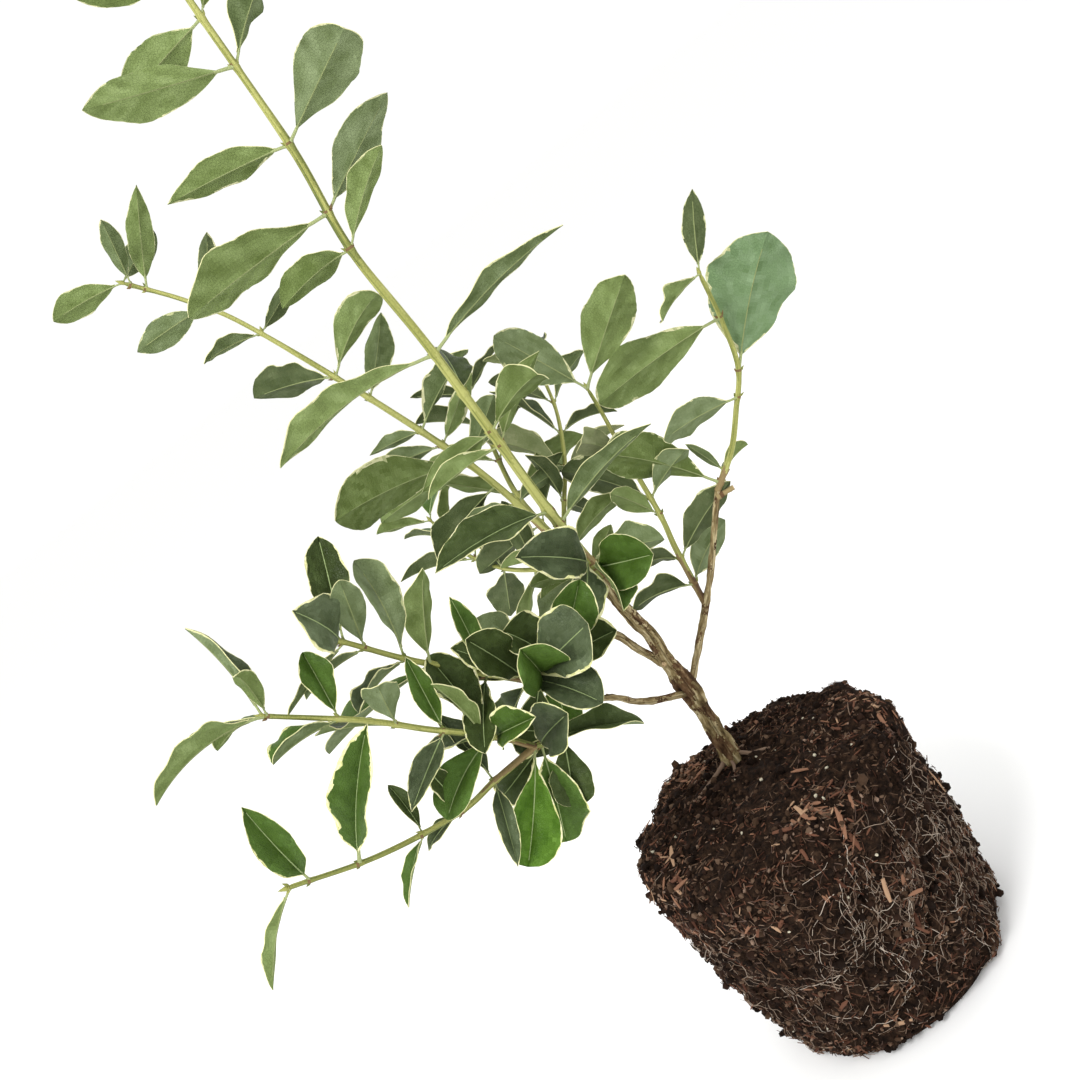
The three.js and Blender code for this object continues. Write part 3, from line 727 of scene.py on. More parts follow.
def blade_sheets(leaf, along, across, widths, rng):
    """The blade's two sides: steepest at the midrib, with wavy margins and side veins sunk in them"""
    centre, out = spine(leaf, mix(PETIOLE_SHARE, 1, along))
    side = np.cross(leaf["direction"], leaf["upper"])
    aside = np.abs(across) / widths
    fold = leaf["fold"]
    bend = rng.uniform(*BENDS)
    start = fold * (1 - bend / 2)
    slope = start + fold * bend * aside
    x = widths * (np.sin(slope) - math.sin(start)) / (fold * bend) * np.sign(across)
    z = widths * (math.cos(start) - np.cos(slope)) / (fold * bend)
    waves = [Ripples(rng, 0.28, 0.9, 1, 4)(along[:, None])[:, None] for _ in range(2)]
    z = z + EDGE_WAVES * widths * np.where(across < 0, *waves) * aside**2
    quilt = QUILTING * leaf["half_width"] * np.clip(aside * 4, 0, 1) * (1 - aside)
    z = z + quilt * (np.minimum(from_vein(along[:, None], aside) * 3, 1) - 0.5)
    twist = (rng.normal(0, 0.22) * (along - 0.2))[:, None]
    x, z = x * np.cos(twist) - z * np.sin(twist), x * np.sin(twist) + z * np.cos(twist)
    sway = leaf["length"] * rng.normal(0, 0.03) * (along**2 - along)
    middle = centre + side * sway[:, None]
    ridge = np.zeros(2 * HALF_COLUMNS + 1)
    ridge[HALF_COLUMNS - 1:HALF_COLUMNS + 2] = 0.45, 1, 0.45
    above = BLADE_THICKNESS / 2 - RIB_DIP * ridge
    below = -BLADE_THICKNESS / 2 - mix(*RIB_DEPTH, along)[:, None] * ridge
    return [middle[:, None] + side * x[..., None] + out[:, None] * (z + lift)[..., None]
            for lift in (above, below)]


def blade_slots(shape, leaf, along, across, widths, rng, upper_kind, under_kind):
    """Which tone each face of the blade's two sides has"""
    def at_faces(grid):
        return (grid[1:, 1:] + grid[:-1, :-1]) / 2

    def tone_of(look, shift):
        mean, patchy, grainy, veined, width, play = look
        tone = mean + patchy * cloud + grainy * grain + shift + veined * (near < width)
        return dealt(tone + rng.uniform(*play), TONES - 1)

    grids = (along[:, None] + 0 * across, across, np.abs(across) / widths)
    along, x, aside = (at_faces(grid) for grid in grids)
    near = from_vein(along, aside)
    where = joined(along * leaf["length"] - 0.6 * np.abs(x), x * 1.6)
    cloud = Ripples(rng, 7, 26, 2)(where)
    speck = Ripples(rng, 2, 5, 2)(where)
    grain = rng.normal(0, 0.3, cloud.shape)
    feather = Ripples(rng, 1.2, 4, 2)(where * np.array([1, 0.25]))
    edging = np.clip(STRIPS - GREEN_STRIPS + 3, 0, 3) / 3
    shift = SPECKS * speck + FEATHERS * edging * np.maximum(feather, 0)
    top = shape.slots_of(f"upper_{upper_kind}", TONES)[tone_of(UPPER_LOOK, shift)]
    pale = dealt(0.8 + 0.7 * speck + (STRIPS == GREEN_STRIPS + 1) * 0.6, 3)
    top = np.where(STRIPS > GREEN_STRIPS + (feather > 0.9), shape.slots_of("cream", 4)[pale], top)
    top = np.where((STRIPS == 0) & (along < 0.93), shape.slot("rib"), top)

    streaked = streaks_of(rng, along, np.where(x < 0, -1, 1) * (STRIPS + 0.5))
    bottom = shape.slots_of(f"under_{under_kind}", TONES)[tone_of(UNDER_LOOK, -STREAKS * streaked)]
    fringe = Ripples(rng, 0.25, 0.8, 2)(joined(along, np.sign(x)))
    outermost = STRIPS == GREEN_STRIPS + CREAM_STRIPS
    creamed = (STRIPS > GREEN_STRIPS) & (fringe > 0.5) | outermost & (speck + fringe > -0.9)
    pale = (speck + 0.7 * fringe < 0.5).astype(int)
    bottom = np.where(creamed, shape.slots_of("under_cream", 2)[pale], bottom)
    return top, np.where((STRIPS == 0) & (along < 0.85), shape.slot("under_rib"), bottom)


def add_leaf(shape, leaf, rng, upper_kind, under_kind):
    """A closed blade with its petiole. Its rows, by share of its length, are closer at its ends."""
    rows = int(np.clip(leaf["length"] / BLADE_STEP, LEAST_ROWS, MOST_ROWS))
    even = np.linspace(0, 1, rows + 1)
    along = 0.5 * even + 0.25 * (1 - np.cos(math.pi * even))
    margin = rng.uniform(*MARGINS[rng.choice(len(MARGINS), p=MARGIN_SHARES)])
    (left, left_half), (right, right_half) = [
        half_blade(leaf, along, rng, margin * rng.uniform(*MARGIN_PLAY)) for _ in range(2)]
    across = np.concatenate([-left[:, ::-1], np.zeros((len(along), 1)), right], axis=1)
    widths = np.where(across < 0, left_half[:, None], right_half[:, None])
    top, bottom = blade_sheets(leaf, along, across, widths, rng)
    top_slots, bottom_slots = blade_slots(shape, leaf, along, across, widths, rng, upper_kind, under_kind)

    shape.add_grid(top, top_slots.ravel())
    shape.add_grid(bottom, bottom_slots.ravel(), flip=True)
    rim = shape.slot("cream_1")
    shape.add_grid(np.stack([top[:, 0], bottom[:, 0]], axis=1), rim, flip=True)
    shape.add_grid(np.stack([top[:, -1], bottom[:, -1]], axis=1), rim)
    shape.add_grid(np.stack([top[-1], bottom[-1]], axis=0), rim, flip=True)
    add_petiole(shape, leaf)


def add_petiole(shape, leaf):
    """A petiole that runs on under the blade's foot"""
    stalk, out = spine(leaf, np.linspace(0, PETIOLE_SHARE * 1.35, len(PETIOLE_PROFILE)))
    side = np.cross(leaf["direction"], leaf["upper"])
    thick = np.clip(leaf["length"] * PETIOLE_THICKNESS, *PETIOLE_LIMITS) * PETIOLE_PROFILE
    shape.add_tube(stalk - out * 0.25, side, out, thick, shape.slot("stalk"), PETIOLE_SIDES)


LEAF_PALETTE = [
    name for name in MATERIALS if name.startswith(("upper", "under", "cream", "rib", "stalk"))]


def leaf_piece(mass, members):
    shape = Shape(mass.replace("foliage", "leaves"), LEAF_PALETTE)
    for name in members:
        shoot = SHOOTS[name]
        for place, leaf in enumerate(leaves_of(shoot)):
            rng = np.random.default_rng([list(SHOOTS).index(name), place])
            upper, under = rng.choice(UPPERS), rng.choice(shoot.get("unders", UNDERS))
            upper = shoot.get("upper_at", {}).get(place, upper)
            under = shoot.get("under_at", {}).get(place, under)
            add_leaf(shape, leaf, rng, upper, under)
    piece = shape.make()
    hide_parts(mass)


# Twigs

TWIG_SIDES = 16
TWIG_STEP = 1.1
TWIG_RIDGES = 4
RIDGE_HEIGHT = 0.07
RIDGE_PHASE = 0.6
NODE_SWELLING = 0.24
NODE_REACH = 1.5
# How far a node's brown ring reaches
RING_REACH = 0.55
# How many times its unevenness is drawn out along a twig
TWIG_STRETCH = 7
STEM_TONES = 7
BUD_SIDES = 8
STEM_PALETTE = numbered("stem", STEM_TONES)


def add_bud(shape, foot, way, across, length, width, tone):
    """A pointed bud of overlapping scales"""
    shares = np.linspace(0, 1, 9)
    profile = np.sin(math.pi * shares**0.7) * (1 - 0.35 * shares) + 0.03
    scales = 1 + 0.09 * np.sin(shares * 6 * math.pi)
    centres = foot + way * (shares * length)[:, None]
    right = unit(np.cross(way, across))
    radii = 0.5 * width * profile * scales
    shape.add_tube(centres, right, np.cross(right, way), radii, shape.slot(f"stem_{tone}"), BUD_SIDES)


def add_twig(shape, shoot, rng):
    """A shoot's stem, ridged and swollen at its nodes, brown over its woody share"""
    curve = shoot["curve"]
    rows = max(12, round(curve.length / TWIG_STEP))
    shares = np.linspace(0, 1, rows + 1)
    nodes = sorted({row[0] for row in shoot.get("marked", []) + shoot["pairs"] if 0 < row[0] < 1})
    away = np.min(np.abs(shares[:, None] - np.array(nodes)), axis=1) * curve.length
    swelling = bell(away / NODE_REACH)
    angles = turns(TWIG_SIDES)
    base = mix(*shoot["radii"], shares) * (1 + NODE_SWELLING * swelling)
    ridges = 1 + RIDGE_HEIGHT * np.cos(TWIG_RIDGES * angles + RIDGE_PHASE) * (1 - swelling)[:, None]
    places = joined(shares[:, None] * curve.length / TWIG_STRETCH, np.cos(angles) * 3, np.sin(angles) * 3)
    uneven = 1 + 0.035 * Ripples(rng, 3, 14)(places)
    radii = base[:, None] * ridges * uneven
    radii[-3:] *= np.array([0.9, 0.7, 0.35])[:, None]
    _, right, front = curve.axes(shares)

    cloud = Ripples(rng, 4, 22)(places[:-1])
    groove = np.cos(TWIG_RIDGES * (angles + math.pi / TWIG_SIDES) + RIDGE_PHASE) < -0.2
    brown = shares[:-1, None] + 0.05 * cloud < shoot["woody"]
    tone = np.where(brown, dealt(4.9 + 0.8 * cloud, 6, 4), dealt(0.8 + 0.8 * cloud + 1.1 * groove, 3))
    ring = (away[:-1, None] < RING_REACH) & (cloud > 0.1)
    slots = shape.slots_of("stem", STEM_TONES)[np.where(ring, 5, tone)]
    shape.add_tube(curve.at(shares), right, front, radii, slots.ravel())

    for share in nodes:
        along, aside, _ = curve.axes_at(share)
        for sign in (-1, 1):
            foot = curve.at(share)[0] + aside * sign * mix(*shoot["radii"], share) * 0.7
            way = unit(along + aside * sign * rng.uniform(0.5, 0.9))
            length = rng.uniform(2.0, 3.2)
            width = rng.uniform(1.1, 1.6)
            add_bud(shape, foot, way, along, length, width, rng.choice([1, 2, 3, 5]))
    along = curve.axes_at(1)[0]
    add_bud(shape, curve.at(1)[0] - along * 1.5, along, right[-1], 5, 2.2, 1)


def twig_piece(mass, members):
    shape = Shape(mass.replace("foliage", "twigs"), STEM_PALETTE)
    for name in members:
        rng = np.random.default_rng([list(SHOOTS).index(name), 900])
        add_twig(shape, SHOOTS[name], rng)
    piece = shape.make()


# Limbs

LIMB_STEP = 0.6
LIMB_SIDES = 40
TRUNK_SIDES = 64
# How many times its fibres are drawn out along a limb
FIBRE_STRETCH = 7
# How much of the bark around the fork is brown, and how far up and down it
FORK_BROWN = 1.1
FORK_REACH = 0.2
BROWN_FROM = 1.0
# A limb of this radius has its relief at full strength, and a thinner one less
FULL_RELIEF = 4
SCAR_HEIGHT = 0.22
SCAR_REACH = 0.7


def limb_radius(name, radii, shares):
    plain = mix(*radii, shares)
    if name != "trunk":
        return plain
    knot = KNOT_SWELLING * bell((shares - KNOT_SHARE) / KNOT_REACH)
    return plain + ROOT_FLARE * np.exp(-shares / FLARE_SHARE) + knot


def bark_relief(rng, knots, shares, length, plain, angles, places):
    """How far bark stands out from a plain limb: fibres, lumps, knots and the rings of scars"""
    fibres = 1 - np.abs(Ripples(rng, 1.6, 4.5, count=30)(places))
    lumps = Ripples(rng, 5, 12, count=16)(places * np.array([FIBRE_STRETCH, 1, 1]) * 0.8)
    strength = plain / FULL_RELIEF
    relief = strength * (0.5 * fibres - 0.45 + 0.18 * lumps)
    for share, angle, height, reach in knots:
        turn = (angles - math.radians(angle) + math.pi) % (2 * math.pi) - math.pi
        distance = (shares[:, None] * length - share * length) ** 2 + (plain * turn) ** 2
        relief = relief + height * np.exp(-distance / reach**2)
    scars = np.arange(0.08, 1, 0.13)
    for share in scars + rng.uniform(-0.03, 0.03, len(scars)):
        relief = relief + SCAR_HEIGHT * strength * bell((shares - share)[:, None] * length / SCAR_REACH)
    return relief


def limb_piece(name, limb, seed):
    """A limb in its bark, with the stubs of cut twigs"""
    rng = np.random.default_rng([seed, 70])
    curve = Route(limb["route"])
    sides = TRUNK_SIDES if name == "trunk" else LIMB_SIDES
    shares = np.linspace(0, 1, round(curve.length / LIMB_STEP) + 1)
    angles = turns(sides) + math.pi / 2
    plain = limb_radius(name, limb["radii"], shares)[:, None] + 0 * angles
    along = shares[:, None] * curve.length
    places = joined(along / FIBRE_STRETCH, plain * np.cos(angles), plain * np.sin(angles))
    relief = bark_relief(rng, limb["knots"], shares, curve.length, plain, angles, places)
    centres = curve.at(shares)
    _, right, front = curve.axes(shares)
    points = around(centres, right, front, plain + relief, angles)

    shape = Shape(name + "_wood", ["bark", "bark_brown", "cut_wood"])
    wide = places * np.array([FIBRE_STRETCH, 1.5, 1.5])
    patches = Ripples(rng, 8, 26)(wide) + 0.35 * Ripples(rng, 2, 5)(wide)
    fork = bell((shares - KNOT_SHARE) / FORK_REACH)[:, None] if name == "trunk" else 0
    brown = (patches + FORK_BROWN * fork + rng.normal(0, 0.35, patches.shape))[:-1] > BROWN_FROM
    lay = joined((angles - math.pi / 2) * plain.mean(), along) * MM
    shape.add_grid(points, brown.astype(int).ravel(), lay, closed=True, flip=True)
    ring = np.arange(sides)
    shape.add_cap(points[-1], centres[-1], np.roll(ring, -1), ring, 0)
    for share, angle, lean, length, radius in limb["stubs"]:
        add_stub(shape, curve, share, math.radians(angle), lean, length, radius, rng)
    piece = shape.make()
    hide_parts(name)


def add_stub(shape, curve, share, angle, lean, length, radius, rng):
    """A cut twig's stub, bark around it and bare wood at its end"""
    sides = 14
    along, right, front = curve.axes_at(share)
    way = unit(outward_of(right, front, angle) + along * lean)
    steps = np.array([0, 0.2, 0.4, 0.6, 0.8, 0.97, 1])
    centres = curve.at(share)[0] + way * (steps * length)[:, None]
    thick = radius * np.array([1.5, 1.25, 1.05, 0.95, 1, 0.95, 0.8])
    radii = thick[:, None] * (1 + 0.09 * rng.normal(size=(len(steps), sides)))
    aside = unit(np.cross(way, along + 0.3 * right))
    shape.add_tube(centres, aside, np.cross(aside, way), radii, np.repeat([0, 1, 0, 0, 0, 2], sides))


# Root ball

BALL_SIDES = 260
BALL_STEP = 1.8
BALL_WIDEST = 67
BALL_USUAL = 65
# The run up the profile at which the ball's side begins
FOOT_RUN = 54
# Nothing but the underside lies lower than this
LEAST_HEIGHT = 0.02

CRUMBS = 7400
FIBRES = 9600
CHIPS = 5200
PERLITE_ON_TOP = 34
PERLITE_ALL_OVER = 22
TOP_HEIGHT = 112.5
SEEDS = dict(ball=5, crumbs=11, perlite=12, chips=13, roots=14, fibres=15)

ball_rng = np.random.default_rng(SEEDS["ball"])
BALL_LUMPS = Ripples(ball_rng, 14, 34)
BALL_CLODS = Ripples(ball_rng, 6, 12)
BALL_CRUMBS = Ripples(ball_rng, 3.2, 5.5)
BALL_PATCHES = Ripples(ball_rng, 9, 30)

# Where chips of reddish bark lie thick, and where the soil is darker, with painted shade in a crease at the
# top's front right edge: place, reach
CHIPPY = [
    ((14, -46, 113), 17), ((62, 2, 110), 17), ((-60, -18, 106), 17), ((-20, 50, 112), 15),
    ((30, 58, 80), 15),
]
# Darker soil; the spot at the top's front right edge is painted shade along a crease
DARK_SOIL_AND_PAINTED_SHADE = [((42, -50, 92), 20), ((6, 12, 115), 17), ((-50, 40, 60), 20), ((-10, -64, 60), 17)]

PROFILE = np.array([(0, 0, 0), *BALL_RINGS, (SOIL_TOP, 0, STEM_Y)], float)
PROFILE_RUN = np.cumsum(np.hypot(*np.diff(PROFILE[:, :2], axis=0, prepend=0).T))
BALL_RUN = PROFILE_RUN[-1]


def ball_profile(run):
    """Height, radius and how far back the centre is, by run up the profile"""
    return [np.interp(run, PROFILE_RUN, PROFILE[:, k]) for k in range(3)]


def ball_surface(angle, run):
    """Points of the ball's rough surface, and its directions outward, by angle and run"""
    height, radius, back = ball_profile(run)
    rough = np.where(height < 4, 0.4 + 0.15 * height, 1)
    uneven = (0.014 * np.sin(3 * angle + 1.9) + 0.011 * np.sin(5 * angle + height / 17)
              + 0.008 * np.sin(9 * angle - height / 11))
    radius = radius * (1 + rough * uneven)
    points = joined(radius * np.cos(angle), back + radius * np.sin(angle), height)
    low, low_radius, _ = ball_profile(run - 3)
    high, high_radius, _ = ball_profile(run + 3)
    rise = high - low
    inward = low_radius - high_radius
    size = np.hypot(rise, inward) + 1e-9
    outward = joined(np.cos(angle) * rise, np.sin(angle) * rise, inward) / size[..., None]
    depth = 1.0 * BALL_LUMPS(points) + 0.8 * BALL_CLODS(points) + 0.4 * BALL_CRUMBS(points) - 0.5
    depth = depth * np.clip(height / 3, 0, 1)
    at_seat = np.clip((BALL_RUN - run) / 8, 0.2, 1)
    points = points + outward * (depth * at_seat)[..., None]
    points[..., 2] = np.maximum(points[..., 2], np.where(run > FOOT_RUN, LEAST_HEIGHT, 0))
    return points, outward


def ball_piece():
    underside = np.linspace(0, FOOT_RUN - 2, 12)
    side = np.arange(FOOT_RUN, BALL_RUN - 1, BALL_STEP)
    runs = np.concatenate([underside, side, [BALL_RUN]])
    points, _ = ball_surface(*np.broadcast_arrays(turns(BALL_SIDES), runs[:, None]))
    shape = Shape("root_ball_soil", ["soil"])
    shape.add_grid(points, 0, closed=True)
    piece = shape.make()
    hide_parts("root_ball")


def random_turns(rng, count):
    """Random rotations, as matrices"""
    w, x, y, z = unit(rng.normal(size=(count, 4))).T
    rows = [[1 - 2 * (y * y + z * z), 2 * (x * y - z * w), 2 * (x * z + y * w)],
            [2 * (x * y + z * w), 1 - 2 * (x * x + z * z), 2 * (y * z - x * w)],
            [2 * (x * z - y * w), 2 * (y * z + x * w), 1 - 2 * (x * x + y * y)]]
    return np.array(rows).transpose(2, 0, 1)


def icosahedron():
    golden = (1 + math.sqrt(5)) / 2
    corners = [(x, y * golden, 0) for x in (-1, 1) for y in (-1, 1)]
    points = unit(np.vstack([np.roll(corners, step, axis=1) for step in range(3)]))
    near = np.linalg.norm(points[:, None] - points[None], axis=-1) < 1.1
    faces = []
    for i, j, k in combinations(range(len(points)), 3):
        if near[i, j] and near[j, k] and near[i, k]:
            normal = np.cross(points[j] - points[i], points[k] - points[i])
            faces.append((i, j, k) if normal @ points[i] > 0 else (i, k, j))
    return points, np.array(faces)


def sized(rng, middle, play, count, least, most):
    """Sizes spread around a middle one, small ones as likely as large ones"""
    return np.exp(rng.normal(math.log(middle), play, count)).clip(least, most)


def scattered(rng, count, low=4.0, above=0):
    """Places on the ball's sides and top, spread evenly over its surface"""
    runs = rng.uniform(FOOT_RUN + low, BALL_RUN, count * 3)
    kept = runs[rng.uniform(0, BALL_WIDEST, len(runs)) < ball_profile(runs)[1]]
    kept = kept[ball_profile(kept)[0] > above][:count]
    return ball_surface(rng.uniform(0, 2 * math.pi, len(kept)), kept)


def add_grains(shape, rng, points, outward, sizes, sunk, slots):
    """Lumps of random shape, one at each point"""
    base, faces = icosahedron()
    count = len(points)
    stretch = rng.uniform(0.55, 1.15, (count, 1, 3))
    lumps = base * stretch * rng.uniform(0.8, 1.2, (count, len(base), 1)) * sizes[:, None, None]
    lumps = np.einsum("nij,nkj->nki", random_turns(rng, count), lumps)
    lumps = lumps + (points + outward * (sizes * sunk)[:, None])[:, None]
    lumps[..., 2] = np.maximum(lumps[..., 2], LEAST_HEIGHT)
    every = (faces[None] + len(base) * np.arange(count)[:, None, None]).reshape(-1, 3)
    shape.add(lumps, every, np.repeat(np.broadcast_to(slots, count), len(faces)))


def nearness(points, spots):
    """How near points are to the nearest of some spots, from 1 at a spot down to 0"""
    near = [bell(np.linalg.norm(points - place, axis=1) / reach) for place, reach in spots]
    return np.max(near, axis=0)


def chips_and_painted_shade(points):
    """How thick bark chips lie: about 1 in the thick of them, and below 0 on darker soil and in painted
    shade
    """
    return nearness(points, CHIPPY) - nearness(points, DARK_SOIL_AND_PAINTED_SHADE) + 0.22 * BALL_PATCHES(points)


def add_splinters(shape, rng, points, outward, lengths, widths, depths, tones, corners, raised):
    """Splinters that lie along the surface, thin at their ends and a little bent"""
    count = len(points)
    ends = np.linspace(-0.5, 0.5, 4)[None, :, None]
    profile = np.stack([rng.uniform(0.25, 0.95, count), np.ones(count), rng.uniform(0.8, 1, count),
                        rng.uniform(0.25, 0.95, count)], axis=1)[..., None, None]
    along = unit(np.cross(outward, rng.normal(size=(count, 3))))
    along = unit(along + outward * rng.normal(0, 0.2, (count, 1)))
    across = unit(np.cross(outward, along))
    out = np.cross(along, across)
    bend = rng.normal(0, 0.2, (count, 1, 1)) * lengths[:, None, None]
    middle = points + outward * (depths * raised + rng.uniform(0, 0.35, count))[:, None]
    centres = middle[:, None] + along[:, None] * ends * lengths[:, None, None]
    centres = centres + across[:, None] * bend * ends**2
    angles = (np.arange(corners) + 0.5) / corners * 2 * math.pi
    wide = (np.cos(angles) * widths[:, None] / 2)[:, None, :, None] * across[:, None, None]
    deep = (np.sin(angles) * depths[:, None] / 2)[:, None, :, None] * out[:, None, None]
    grid = centres[:, :, None] + (wide + deep) * profile
    grid[..., 2] = np.maximum(grid[..., 2], LEAST_HEIGHT)
    index = np.arange(count * 4 * corners).reshape(count, 4, corners)
    shape.add(grid, woven(index, True), np.repeat(tones, 3 * corners))
    cap = np.arange(count * corners).reshape(count, corners)
    shape.add(grid[:, 0], cap[:, ::-1], tones)
    shape.add(grid[:, -1], cap, tones)


def crumb_piece():
    rng = np.random.default_rng(SEEDS["crumbs"])
    shape = Shape("soil_crumbs", numbered("crumb", 5))
    points, outward = scattered(rng, CRUMBS)
    sizes = sized(rng, 0.8, 0.5, len(points), 0.3, 2.6)
    # Crumbs are darker where few chips lie, on darker soil and in painted shade
    lean = 1.5 + 1.3 * chips_and_painted_shade(points) + rng.normal(0, 1.1, len(points)) - 0.9 * np.maximum(sizes - 1, 0)
    add_grains(shape, rng, points, outward, sizes, 0.25, dealt(lean, 4))
    return shape.make(smooth=False)


def fibre_piece():
    """Short fibres of bark and coir, thick over the whole ball"""
    rng = np.random.default_rng(SEEDS["fibres"])
    names = ["crumb_1", "crumb_2", "crumb_3", "chip_0", "chip_1", "root_3", "root_1", "chip_2"]
    shape = Shape("soil_fibres", names)
    points, outward = scattered(rng, FIBRES, low=3)
    lengths = sized(rng, 3.0, 0.45, len(points), 1.0, 9)
    widths = rng.uniform(0.25, 0.7, len(points))
    # Fibres are darker on darker soil and in painted shade
    tones = dealt(2.3 + 3.0 * chips_and_painted_shade(points) + rng.normal(0, 1.9, len(points)), 7)
    add_splinters(shape, rng, points, outward, lengths, widths, widths * 0.8, tones, 3, 0.9)
    return shape.make(smooth=False)


def perlite_piece():
    rng = np.random.default_rng(SEEDS["perlite"])
    shape = Shape("perlite", ["perlite"])
    on_top = scattered(rng, PERLITE_ON_TOP, above=TOP_HEIGHT)
    all_over = scattered(rng, PERLITE_ALL_OVER)
    points, outward = (np.vstack(both) for both in zip(on_top, all_over))
    add_grains(shape, rng, points, outward, rng.uniform(0.5, 1.2, len(points)), 0.5, 0)
    return shape.make(smooth=False)


def chip_piece():
    """Chips and long splinters of bark, most of them in a few patches"""
    rng = np.random.default_rng(SEEDS["chips"])
    shape = Shape("bark_chips", numbered("chip", 5))
    points, outward = scattered(rng, CHIPS)
    kept = chips_and_painted_shade(points) + rng.uniform(-0.75, 0.15, len(points)) > 0.12
    points, outward = points[kept], outward[kept]
    count = len(points)
    lengths = sized(rng, 4.3, 0.45, count, 1.8, 14)
    widths = (lengths * rng.uniform(0.1, 0.34, count)).clip(0.5, 2.4)
    depths = np.clip(widths * rng.uniform(0.3, 0.6, count), 0.25, 0.9)
    # Chips are darkest on darker soil and in painted shade
    tones = dealt(1.1 + 0.9 * chips_and_painted_shade(points) + rng.normal(0, 0.9, count), 3, -1) % 5
    add_splinters(shape, rng, points, outward, lengths, widths, depths, tones, 6, 0.7)
    return shape.make(smooth=False)


# Roots

ROOT_SIDES = 5
DOWNWARD = -math.pi / 2
# Fine roots all around the ball, and finer ones high on its front: how many, how many steps
# they take, the length and sway of a step, and the shares of the four tones
FINE_ROOTS = dict(
    count=260, steps=(8, 18), stride=2.2, sway=0.24, radii=(0.1, 0.2), tones=[0.3, 0.34, 0.1, 0.26])
PATCH_ROOTS = dict(
    count=150, steps=(8, 17), stride=2.0, sway=0.28, radii=(0.09, 0.18), tones=[0.36, 0.26, 0.28, 0.1])
# Strands that run down the sides, and how many at each place, in degrees from the right
STRANDS = dict(steps=(14, 28), stride=2.4, sway=0.09, radii=(0.08, 0.18), tones=[0.4, 0.3, 0.18, 0.12])
STRAND_COUNTS = {-32: 110, 96: 50, 190: 50}
# Thick roots at the stem's foot: turn in degrees, length, radius
THICK_ROOTS = [(200, 24, 1.3), (255, 17, 1.1), (320, 21, 1.2), (20, 15, 1.0), (110, 18, 1.2)]
THICK_SIDES = 10


def root_path(rng, angle, run, heading, steps, stride, sway):
    """A root's way over the ball, as angles and runs"""
    angles, runs = [], []
    for _ in range(steps):
        angles.append(angle)
        runs.append(run)
        heading += rng.normal(0, sway)
        angle += math.cos(heading) * stride / BALL_USUAL
        run = np.clip(run + math.sin(heading) * stride, FOOT_RUN + 2, BALL_RUN - 12)
    return np.array(angles), np.array(runs)


def add_strand(shape, points, outward, radii, slot, sides=None):
    along = unit(np.gradient(points, axis=0))
    right = unit(np.cross(along, outward))
    shape.add_tube(points, right, np.cross(right, along), radii, slot, sides)


def add_root(shape, rng, path, radius, tone):
    points, outward = ball_surface(*path)
    steps = len(points)
    lift = radius + 0.4 * np.sin(np.linspace(0, math.pi, steps)) + rng.normal(0, 0.1, steps)
    points = points + outward * lift[:, None]
    points[:, 2] = np.maximum(points[:, 2], 0.5)
    add_strand(shape, points, outward, radius * np.linspace(1, 0.5, steps), tone, ROOT_SIDES)


def add_thick_root(shape, rng, turn, length, radius):
    steps = np.linspace(0, 1, 14)
    way = np.array([math.cos(math.radians(turn)), math.sin(math.radians(turn)), 0])
    points = np.array([-0.4, STEM_Y, SOIL_TOP + 2.6]) + way * (steps * length)[:, None]
    points[:, 2] -= 3.9 * steps**0.6
    points[:, :2] += 0.5 * np.stack([np.sin(steps * 9 + turn), np.cos(steps * 7 + turn)], axis=-1)
    uneven = 1 + 0.08 * rng.normal(size=(len(steps), THICK_SIDES))
    add_strand(shape, points, (0, 0, 1), (radius * (1 - 0.55 * steps))[:, None] * uneven, 1)


def add_roots(shape, rng, start, count, steps, stride, sway, radii, tones):
    """Roots on the ball. start deals each its angle, run and heading."""
    for _ in range(count):
        path = root_path(rng, *start(), rng.integers(*steps), stride, sway)
        add_root(shape, rng, path, rng.uniform(*radii), rng.choice(len(tones), p=tones))


def root_piece():
    rng = np.random.default_rng(SEEDS["roots"])
    uniform, normal = rng.uniform, rng.normal
    shape = Shape("roots", numbered("root", 4))
    add_roots(shape, rng, lambda: (
        uniform(0, 2 * math.pi), uniform(56, 165), normal(DOWNWARD, 1.1)), **FINE_ROOTS)
    add_roots(shape, rng, lambda: (
        math.radians(normal(-76, 27)), normal(119, 20), normal(-2.2, 0.8)), **PATCH_ROOTS)
    for side, count in STRAND_COUNTS.items():
        add_roots(shape, rng, lambda: (
            math.radians(normal(side, 20)), uniform(85, 160), normal(DOWNWARD, 0.16)), count, **STRANDS)
    for row in THICK_ROOTS:
        add_thick_root(shape, rng, *row)
    return shape.make()


# The plant

for shoot in SHOOTS.values():
    shoot["curve"] = Route(shoot["route"])
for mass, members in MASSES.items():
    leaf_piece(mass, members)
    twig_piece(mass, members)
for seed, (name, limb) in enumerate(LIMBS.items()):
    limb_piece(name, limb, seed)
ball_piece()
for piece in (crumb_piece(), fibre_piece(), perlite_piece(), chip_piece(), root_piece()):
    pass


# Stage, light and camera

# Lights: place, what they are aimed at, size and power
LIGHTS = {
    "key": ((-700, -900, 1300), (0, 0, 260), 600, 15),
    "fill": ((1100, -500, 700), (0, 0, 230), 1000, 1.5),
    "back": ((200, 1100, 1000), (0, 0, 280), 900, 2),
}
WORLD_STRENGTH = 1.04
FLOOR_SIDES = 72
# The view: where from, how far down and how far rolled in degrees, focal length by picture width
VIEWED_FROM = (-8.6, -508.8, 388.6)
VIEW_TILT = 14
VIEW_ROLL = 38
FOCAL_SHARE = 1250 / 1080
SENSOR_WIDTH = 36


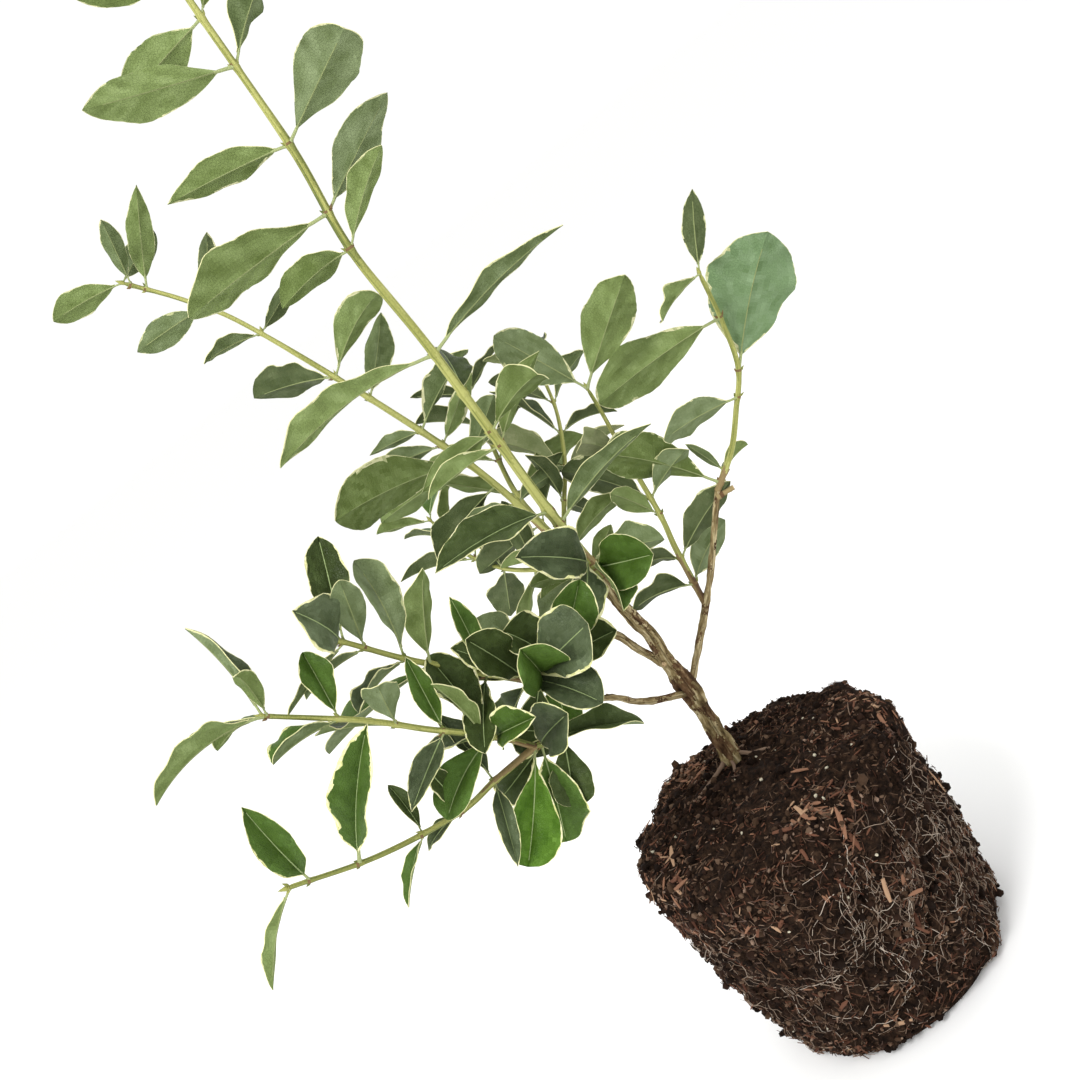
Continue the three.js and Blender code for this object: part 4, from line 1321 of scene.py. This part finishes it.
def stage_floor():
    """A pale floor that reaches as far as the view"""
    radii = np.concatenate([[0.001], np.geomspace(0.2, 60, 26)])[:, None] * 1000
    angles = turns(FLOOR_SIDES)
    points = joined(radii * np.cos(angles), radii * np.sin(angles), 0)
    faces = woven(np.arange(radii.size * FLOOR_SIDES).reshape(-1, FLOOR_SIDES), True)[:, FLIPPED]
    mesh = bpy.data.meshes.new("stage")
    mesh.from_pydata((points.reshape(-1, 3) * MM).tolist(), [], faces.tolist())
    mesh.materials.append(grain_surface("stage", "#fbfbfa", 0.9, 60, 0.02))
    stage = linked("stage", mesh)


def put(thing, axes, place):
    """Puts a thing at a place, its axes right, up and back"""
    matrix = np.eye(4)
    matrix[:3, :3] = np.stack(axes, axis=1)
    matrix[:3, 3] = np.array(place) * MM
    thing.matrix_world = Matrix(matrix.tolist())


def area_light(name, place, aim, size, power):
    data = bpy.data.lights.new(name, "AREA")
    data.shape = "DISK"
    data.size = size * MM
    data.energy = power
    back = unit(np.subtract(place, aim))
    right = unit(np.cross((0, 0, 1), back))
    put(linked(name, data), [right, np.cross(back, right), back], place)


def camera():
    tilt, roll = math.radians(VIEW_TILT), math.radians(VIEW_ROLL)
    data = bpy.data.cameras.new("camera")
    data.sensor_width = SENSOR_WIDTH
    data.lens = SENSOR_WIDTH * FOCAL_SHARE
    data.clip_start = 0.01
    back = np.array([0, -math.cos(tilt), math.sin(tilt)])
    up = np.array([0, math.sin(tilt), math.cos(tilt)])
    right = np.array([1, 0, 0])
    seen_from = linked("camera", data)
    put(seen_from, [outward_of(right, up, -roll), outward_of(up, right, roll), back], VIEWED_FROM)
    bpy.context.scene.camera = seen_from


stage_floor()
for name, light in LIGHTS.items():
    area_light(name, *light)
world = bpy.data.worlds.new("world")
world.use_nodes = True
background = world.node_tree.nodes["Background"]
background.inputs["Color"].default_value = (1, 1, 1, 1)
background.inputs["Strength"].default_value = WORLD_STRENGTH
bpy.context.scene.world = world
bpy.context.scene.view_settings.view_transform = "Standard"
camera()
